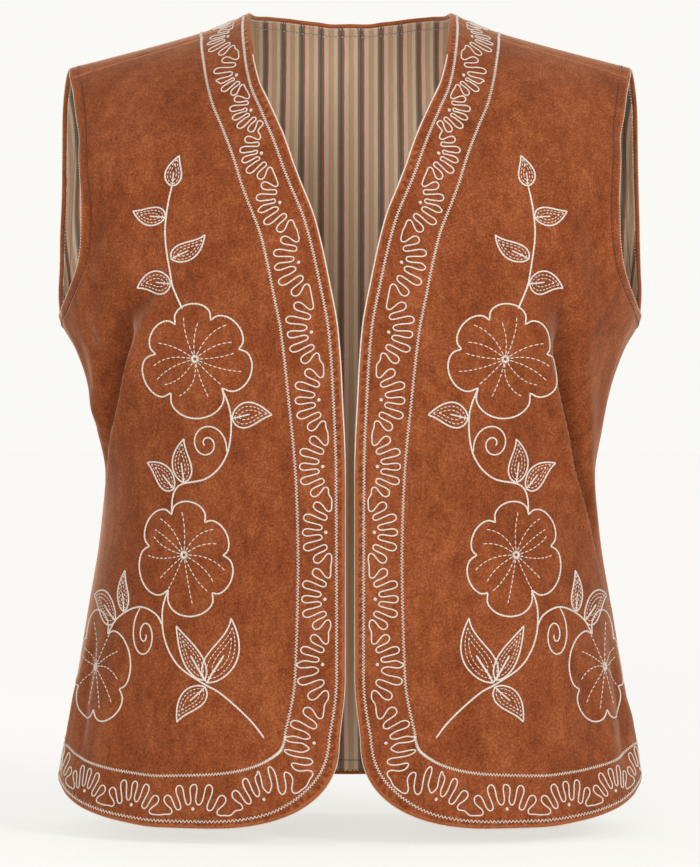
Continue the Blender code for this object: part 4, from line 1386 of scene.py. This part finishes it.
# Points of half a fan: distances along and inward from its knot, and along to the heart of their finger.
FAN_HALF = (
    (0.0000, 0.0164, 0.0000), (0.0017, 0.0156, 0.0000), (0.0025, 0.0134, 0.0000), (0.0022, 0.0100, 0.0000),
    (0.0017, 0.0066, 0.0000), (0.0020, 0.0040, 0.0040), (0.0034, 0.0026, 0.0040), (0.0050, 0.0034, 0.0040),
    (0.0062, 0.0062, 0.0100), (0.0072, 0.0100, 0.0100), (0.0081, 0.0134, 0.0100), (0.0096, 0.0154, 0.0100),
    (0.0118, 0.0154, 0.0100), (0.0132, 0.0134, 0.0100), (0.0128, 0.0104, 0.0100), (0.0113, 0.0070, 0.0100),
    (0.0097, 0.0034, 0.0100), (0.0090, 0.0009, 0.0110), (0.0100, -0.0007, 0.0110), (0.0120, -0.0006, 0.0110),
    (0.0136, 0.0014, 0.0150), (0.0152, 0.0046, 0.0180), (0.0170, 0.0076, 0.0190), (0.0192, 0.0088, 0.0190),
    (0.0215, 0.0079, 0.0190), (0.0222, 0.0056, 0.0190), (0.0208, 0.0032, 0.0190), (0.0183, 0.0012, 0.0180),
    (0.0161, -0.0006, 0.0180), (0.0155, -0.0026, 0.0180), (0.0170, -0.0039, 0.0190),
    (0.0205, -0.0041, 0.0220), (0.0243, -0.0041, 0.0243),
)
FINGER_FIRMNESS = 0.6      # how far the cord's fingers keep their width where fans are crowded
FINGER_LENGTH = 0.5        # and how far they keep their length
MEANDER_STEP = 0.0010
MEANDER_WIDTH = 0.00105
MEANDER_HEIGHT = MEANDER_WIDTH * CORD_FLATNESS
MEANDER_OUT = 0.0002
FAN_MARGIN = 0.003
KNOT_POINTS = 14
KNOT_TURN = 3.2 * math.pi
KNOT_START, KNOT_END = 0.00095, 0.00035
KNOT_LOW, KNOT_HIGH = 0.0002, 0.0010
KNOT_WIDTH, KNOT_HEIGHT = 0.0011, 0.0009
TURN_COLUMNS = ("along", "turn")
RIM_STEP = 0.0007
RIM_GAP = 0.0009
RIM_OUT = 0.00015
RIM_WAVER, RIM_WAVES = 0.125, 4.0e3
SLANTED_LENGTH = 0.6       # a slanted stitch lies along its edge for this share of its length


def meander(fans, start, end):
    """Evenly spaced (along, inset) points of the cord that winds from fan to fan."""
    half = np.array(FAN_HALF)
    controls = []
    for number, (along, inset) in enumerate(fans):
        before = fans[max(number - 1, 0)][0]
        after = fans[min(number + 1, len(fans) - 1)][0]
        left = (along - before) / 2.0 / FAN_HALF_PITCH or 1.0
        right = (after - along) / 2.0 / FAN_HALF_PITCH or 1.0
        for way, crowding, rows in ((-1.0, left, half[:0:-1]), (1.0, right, half[:-1])):
            beside, inward, heart = rows.T
            reach = heart * crowding + (beside - heart) * mix(crowding, 1.0, FINGER_FIRMNESS)
            inward = inward * mix(crowding, 1.0, FINGER_LENGTH)
            controls.append(np.stack((along + way * reach, inset + inward), axis=-1))
    run = smooth_run(np.concatenate(controls), MEANDER_STEP)
    inside = np.nonzero((run[:, 0] >= start) & (run[:, 0] <= end))[0]
    return run[inside[0]:inside[-1] + 1]


def zigzag(threads, band, line, pitches, end, on_side):
    """One sewn zigzag line, with a short straight strand for each half of its pitch."""
    at, alongs = SEAM_MARGIN, []
    while at < end:
        alongs.append(at)
        at += float(read(pitches, PITCH_COLUMNS, "pitch", at)) / 2.0
    alongs = mix(SEAM_MARGIN, end, (np.array(alongs) - SEAM_MARGIN) / (alongs[-1] - SEAM_MARGIN))
    insets = [read(line, INSET_COLUMNS, "inset", alongs + beside) for beside in LINE_CALM]
    inset = sum(insets) / len(insets)
    inset = inset + np.where(np.arange(len(alongs)) % 2, 0.5, -0.5) * ZIGZAG_WIDTH
    ends = np.stack((alongs, inset), axis=-1)
    rows = mix(ends[:-1, None], ends[1:, None], np.linspace(0.0, 1.0, 3)[None, :, None])
    places = on_side(band.places(rows[..., 0], rows[..., 1]))
    lay_on(threads, band.panel, places, STRAND_HEIGHTS, STRAND, STRAND, STRAND_SIDES, tips=STRAND_TIP_SHARE)


def knots(threads, band, fans, on_side):
    """A small wound knot at the heart of each fan."""
    turn = np.linspace(0.0, KNOT_TURN, KNOT_POINTS)
    radius = np.linspace(KNOT_START, KNOT_END, KNOT_POINTS)
    wound = np.stack((np.cos(turn) * radius, np.sin(turn) * radius), axis=-1)
    rows = np.array(fans)[:, None] + wound
    places = on_side(band.places(rows[..., 0], rows[..., 1]))
    heights = np.linspace(KNOT_LOW, KNOT_HIGH, KNOT_POINTS)
    lay_on(threads, band.panel, places, heights, KNOT_WIDTH, KNOT_HEIGHT, CORD_SIDES)


def straight_stitches(threads, band, on_side, inset, stitch, gap, width, slant, inside):
    """Short stitches in a line beside an edge, each lying along it or slanted across it."""
    count = int(band.length / (stitch + gap))
    start = (np.arange(count)[:, None] + 0.1) * band.length / count
    part = np.linspace(0.0, 1.0, 4)
    along = start + part * (stitch * SLANTED_LENGTH if slant else stitch)
    places = on_side(band.places(along, inset + (part - 0.5) * slant))
    lay_on(threads, band.panel, places, arched(4), width, width * STITCH_FLATNESS, STITCH_SIDES, inside)


def rim_thread(threads, band, on_side, turns, width, start, stitch):
    """Thread on the rounded rim of an edge, turned this far round it from the front."""
    if stitch:
        count = int(band.length / (stitch + RIM_GAP))
        along = (np.arange(count)[:, None] + 0.2) * band.length / count + np.linspace(0.0, stitch, 4)
        waver = 0.0
    else:
        along = np.arange(start, band.length - SEAM_MARGIN, RIM_STEP)
        waver = RIM_WAVER * width * np.sin(RIM_WAVES * along)
    turn = np.radians(read(turns, TURN_COLUMNS, "turn", along))
    places = on_side(band.places(along, ROUND_EDGE * (1.0 - np.sin(turn))))
    out = ROUND_EDGE * (np.cos(turn) - 1.0) + RIM_OUT + waver
    lay_on(threads, band.panel, places, out, width, width * STITCH_FLATNESS, CORD_SIDES)


def mirror(side):
    return lambda places: places * (side, 1.0)


# ---- the pieces of cloth

FRONT_SIDES = (("front_right", -1.0), ("front_left", 1.0))


def dress(piece, node):
    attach(piece, "root")
    if node:
        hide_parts(node)


def whole(places):
    return np.ones((places.shape[0] - 1, places.shape[1] - 1), bool)


def dress_cloth(piece, node):
    """Attaches a piece of cloth to the root, and hides the part that it stands for."""
    dress(piece, node)


def make_panel(name, sheet, lining_sheet, materials, nodes):
    """A panel's pile cloth and its lining, each with the node that it stands for."""
    outer = sheet.drawn_in(ROUND_EDGE, ROUND_EDGE)
    inner = lining_sheet.drawn_in(LINING_INSET, LINING_SEAM_INSET)
    pile, lining = materials
    piece = cloth_wall(name + "_cloth", outer, 0.0, PILE_WALL, TURNED_EDGE, pile)
    dress_cloth(piece, nodes[0])
    piece = cloth_wall(name + "_lining_cloth", inner, LINING_DEPTH, LINING_WALL, 0.0, lining)
    dress_cloth(piece, nodes[1])


def make_cloth():
    materials = (pile_material(), lining_material())
    half = front_places()
    for name, side in FRONT_SIDES:
        places = half * (side, 1.0)
        sheet = Cloth("front", places, whole(places))
        make_panel(name, sheet, sheet, materials, (name, None))
    places = back_places()
    sheet = Cloth("back", places, back_cells(places))
    coarse = places[::2, ::2]
    lining_sheet = Cloth("back", coarse, back_cells(coarse, 2))
    make_panel("back", sheet, lining_sheet, materials, ("back", "lining_back"))


# ---- stage, light and camera

EYE_DISTANCE = 3.0
EYE_LEVEL = -0.296
SENSOR = 36.0
METRES_PER_PIXEL = 0.7055e-3
FRAME_HEIGHT = 867
FLOOR_LEVEL = -0.574
FLOOR_RADIUS = 60.0
FLOOR_SIDES = 96
CLIP_END = 100.0
LAMP_AIM = (0.0, 0.0, -0.25)
LAMPS = (
    {"name": "key", "place": (1.9, -2.3, 1.1), "size": (1.0, 1.0), "energy": 36.0, "spread": 180.0},
    {"name": "front", "place": (-0.5, -3.2, 0.1), "size": (1.4, 1.0), "energy": 47.0, "spread": 180.0},
    {"name": "behind", "place": (-0.9, 3.1, 0.5), "size": (0.8, 0.8), "energy": 1.4, "spread": 40.0},
)
STUDIO_GLOW = (0.500, 0.500, 0.490, 1.0)
STUDIO_WHITE = (0.955, 0.948, 0.915, 1.0)


def make_lamp(name, place, size, energy, spread):
    light = bpy.data.lights.new(name, "AREA")
    light.spread = math.radians(spread)
    light.shape = "RECTANGLE"
    light.size, light.size_y = size
    light.energy = energy
    lamp = link(bpy.data.objects.new(name, light))
    lamp.location = place
    lamp.rotation_euler = (Vector(LAMP_AIM) - Vector(place)).to_track_quat("-Z", "Y").to_euler()


def make_floor():
    turn = np.arange(FLOOR_SIDES) * 2.0 * np.pi / FLOOR_SIDES
    level = np.full(FLOOR_SIDES, FLOOR_LEVEL)
    rim = np.stack((np.cos(turn) * FLOOR_RADIUS, np.sin(turn) * FLOOR_RADIUS, level), axis=-1)
    mesh = bpy.data.meshes.new("studio_floor")
    mesh.from_pydata(rim.tolist(), [], [tuple(range(FLOOR_SIDES))])
    mesh.materials.append(floor_material())
    link(bpy.data.objects.new("studio_floor", mesh))


def make_stage():
    make_floor()
    world = bpy.data.worlds.new("studio")
    world.use_nodes = True
    nodes = Nodes(world.node_tree)
    background = world.node_tree.nodes["Background"]
    seen = nodes.place("ShaderNodeLightPath").outputs["Is Camera Ray"]
    nodes.feed(background, "Color", nodes.blend(seen, STUDIO_GLOW, STUDIO_WHITE))
    bpy.context.scene.world = world
    bpy.context.scene.view_settings.view_transform = "Standard"
    for lamp in LAMPS:
        make_lamp(**lamp)


def make_camera():
    camera = bpy.data.cameras.new("camera")
    camera.sensor_fit = "VERTICAL"
    camera.sensor_height = SENSOR
    camera.sensor_width = SENSOR
    camera.lens = SENSOR * EYE_DISTANCE / (METRES_PER_PIXEL * FRAME_HEIGHT)
    camera.clip_end = CLIP_END
    eye = link(bpy.data.objects.new("camera", camera))
    eye.location = (0.0, -EYE_DISTANCE, EYE_LEVEL)
    eye.rotation_euler = (math.pi / 2.0, 0.0, 0.0)
    bpy.context.scene.camera = eye


# ---- the sewn pieces

NECK_INSETS = {"outer": 0.0052, "inner": 0.0372, "fan": 0.0160}
HEM_INSETS = {"outer": 0.0036, "inner": 0.0285, "fan": 0.0115}
NECK_FAN_PITCH = 0.034
HEM_FAN_PITCH = 0.047
FIRST_NECK_FAN = 0.018
FIRST_HEM_FAN = 0.0115
NECK_ZIGZAG_PITCH = 0.0018
HEM_ZIGZAG_PITCH = 0.0026
V_TURNS = (
    (0.000, 30.0), (0.060, 22.0), (0.120, 26.0), (0.200, 42.0), (0.310, 50.0), (0.380, 110.0), (0.853, 110.0),
)
EVEN_TURN = ((0.0, 50.0), (1.0, 50.0))
RIM_COLUMNS = ("band", "turns", "width", "start", "stitch")
CREAM_RIMS = (
    ("long_edge", V_TURNS, 0.0010, 0.052, None),
    ("front_armhole", EVEN_TURN, 0.0007, None, 0.0012),
    ("back_armhole", EVEN_TURN, 0.0007, None, 0.0012),
)
STITCH_COLUMNS = ("band", "inset", "stitch", "gap", "width", "slant", "inside")
CREAM_STITCHES = (
    ("front_armhole", 0.0034, 0.0016, 0.0010, 0.0007, 0.0012, True),
    ("back_armhole", 0.0034, 0.0016, 0.0010, 0.0007, 0.0012, True),
    ("back_neck", 0.0034, 0.0016, 0.0008, 0.0007, 0.0016, True),
    ("back_neck", 0.0110, 0.0020, 0.0010, 0.0005, 0.0, True),
)
BROWN_STITCHES = (
    ("front_armhole", 0.0067, 0.0022, 0.0009, 0.0006, 0.0, False),
    ("back_armhole", 0.0067, 0.0022, 0.0009, 0.0006, 0.0, False),
    ("back_hem", 0.0034, 0.0016, 0.0010, 0.0007, 0.0012, True),
    ("long_edge", 0.0054, 0.0018, 0.0012, 0.0006, 0.0010, True),
)


def border(name, band, outer_line, inner_line, outer_pitch, inner_pitch, fans, sides, cream):
    """The zigzag lines, winding cord and knots of one band, for each of these sides."""
    cords, lines = Threads(), Threads()
    end = band.length - (SEAM_MARGIN if len(sides) == 1 else 0.0)
    run = meander(fans, SEAM_MARGIN, end)
    last = band.length - (FAN_MARGIN if len(sides) == 1 else 0.0)
    in_reach = [fan for fan in fans if FAN_MARGIN < fan[0] < last]
    for side in sides:
        places = mirror(side)(band.places(run[:, 0], run[:, 1]))
        lay_on(cords, band.panel, places, MEANDER_OUT, MEANDER_WIDTH, MEANDER_HEIGHT, STITCH_SIDES)
        last_is_shared = side == -1.0 and len(sides) == 2
        knots(cords, band, in_reach[:-1] if last_is_shared else in_reach, mirror(side))
        zigzag(lines, band, outer_line, outer_pitch, end, mirror(side))
        zigzag(lines, band, inner_line, inner_pitch, end, mirror(side))
    cords.piece(name + "_fan_border", cream)
    lines.piece(name + "_zigzag_lines", cream)


def even_fans(band, first, pitch, inset):
    """Fans from the first one to one that lies on the centre line, at the band's far end."""
    count = round((band.length - first) / pitch)
    return [(mix(first, band.length, number / count), inset) for number in range(-1, count + 2)]


def back_border(name, band, insets, first, pitch, zigzag_pitch, cream):
    outer, inner = (((0.0, insets[line]), (band.length, insets[line])) for line in ("outer", "inner"))
    pitches = ((0.0, zigzag_pitch), (band.length, zigzag_pitch))
    fans = even_fans(band, first, pitch, insets["fan"])
    border(name, band, outer, inner, pitches, pitches, fans, (-1.0, 1.0), cream)


def sew_edges(name, bands, rims, stitches, material):
    """Edge thread, and the stitches beside an edge or that hold the lining, of one colour."""
    threads = Threads()
    for side in (-1.0, 1.0):
        for row in rims:
            rim = dict(zip(RIM_COLUMNS, row))
            rim_thread(threads, bands[rim.pop("band")], mirror(side), **rim)
        for row in stitches:
            line = dict(zip(STITCH_COLUMNS, row))
            straight_stitches(threads, bands[line.pop("band")], mirror(side), **line)
    threads.piece(name, material)


def sew_all():
    tone = thread_tone()
    cream = thread_material("cream_thread", tone, THREAD_CREAM)
    brown = thread_material("brown_thread", tone, THREAD_BROWN)
    up_to_seam = armhole_seam_station() * shares(300)
    station = (2.0 - armhole_seam_station()) * shares(400)
    behind = armhole("back", np.minimum(station, 1.0))
    ahead = over_ridge(armhole("front", 2.0 - np.maximum(station, 1.0)))
    bands = {
        "long_edge": Band("front", long_edge(), 1.0),
        "back_neck": Band("back", neck_edge_of_back(), -1.0),
        "back_hem": Band("back", hem_of_back(), 1.0),
        "front_armhole": Band("front", armhole("front", up_to_seam), 1.0),
        "back_armhole": Band("back", np.where(station[:, None] <= 1.0, behind, ahead), -1.0),
    }
    for name, side in FRONT_SIDES:
        vine = Threads()
        sew_vine(vine, side)
        vine.piece(name + "_vine", cream)
        border(name, bands["long_edge"], OUTER_LINE, INNER_LINE, OUTER_PITCH, INNER_PITCH, FANS,
               (side,), cream)
    back_border("back_neck", bands["back_neck"], NECK_INSETS, FIRST_NECK_FAN, NECK_FAN_PITCH,
                NECK_ZIGZAG_PITCH, cream)
    back_border("back_hem", bands["back_hem"], HEM_INSETS, FIRST_HEM_FAN, HEM_FAN_PITCH,
                HEM_ZIGZAG_PITCH, cream)
    sew_edges("cream_edge_stitches", bands, CREAM_RIMS, CREAM_STITCHES, cream)
    sew_edges("brown_edge_stitches", bands, (), BROWN_STITCHES, brown)


make_stage()
make_camera()
make_cloth()
sew_all()
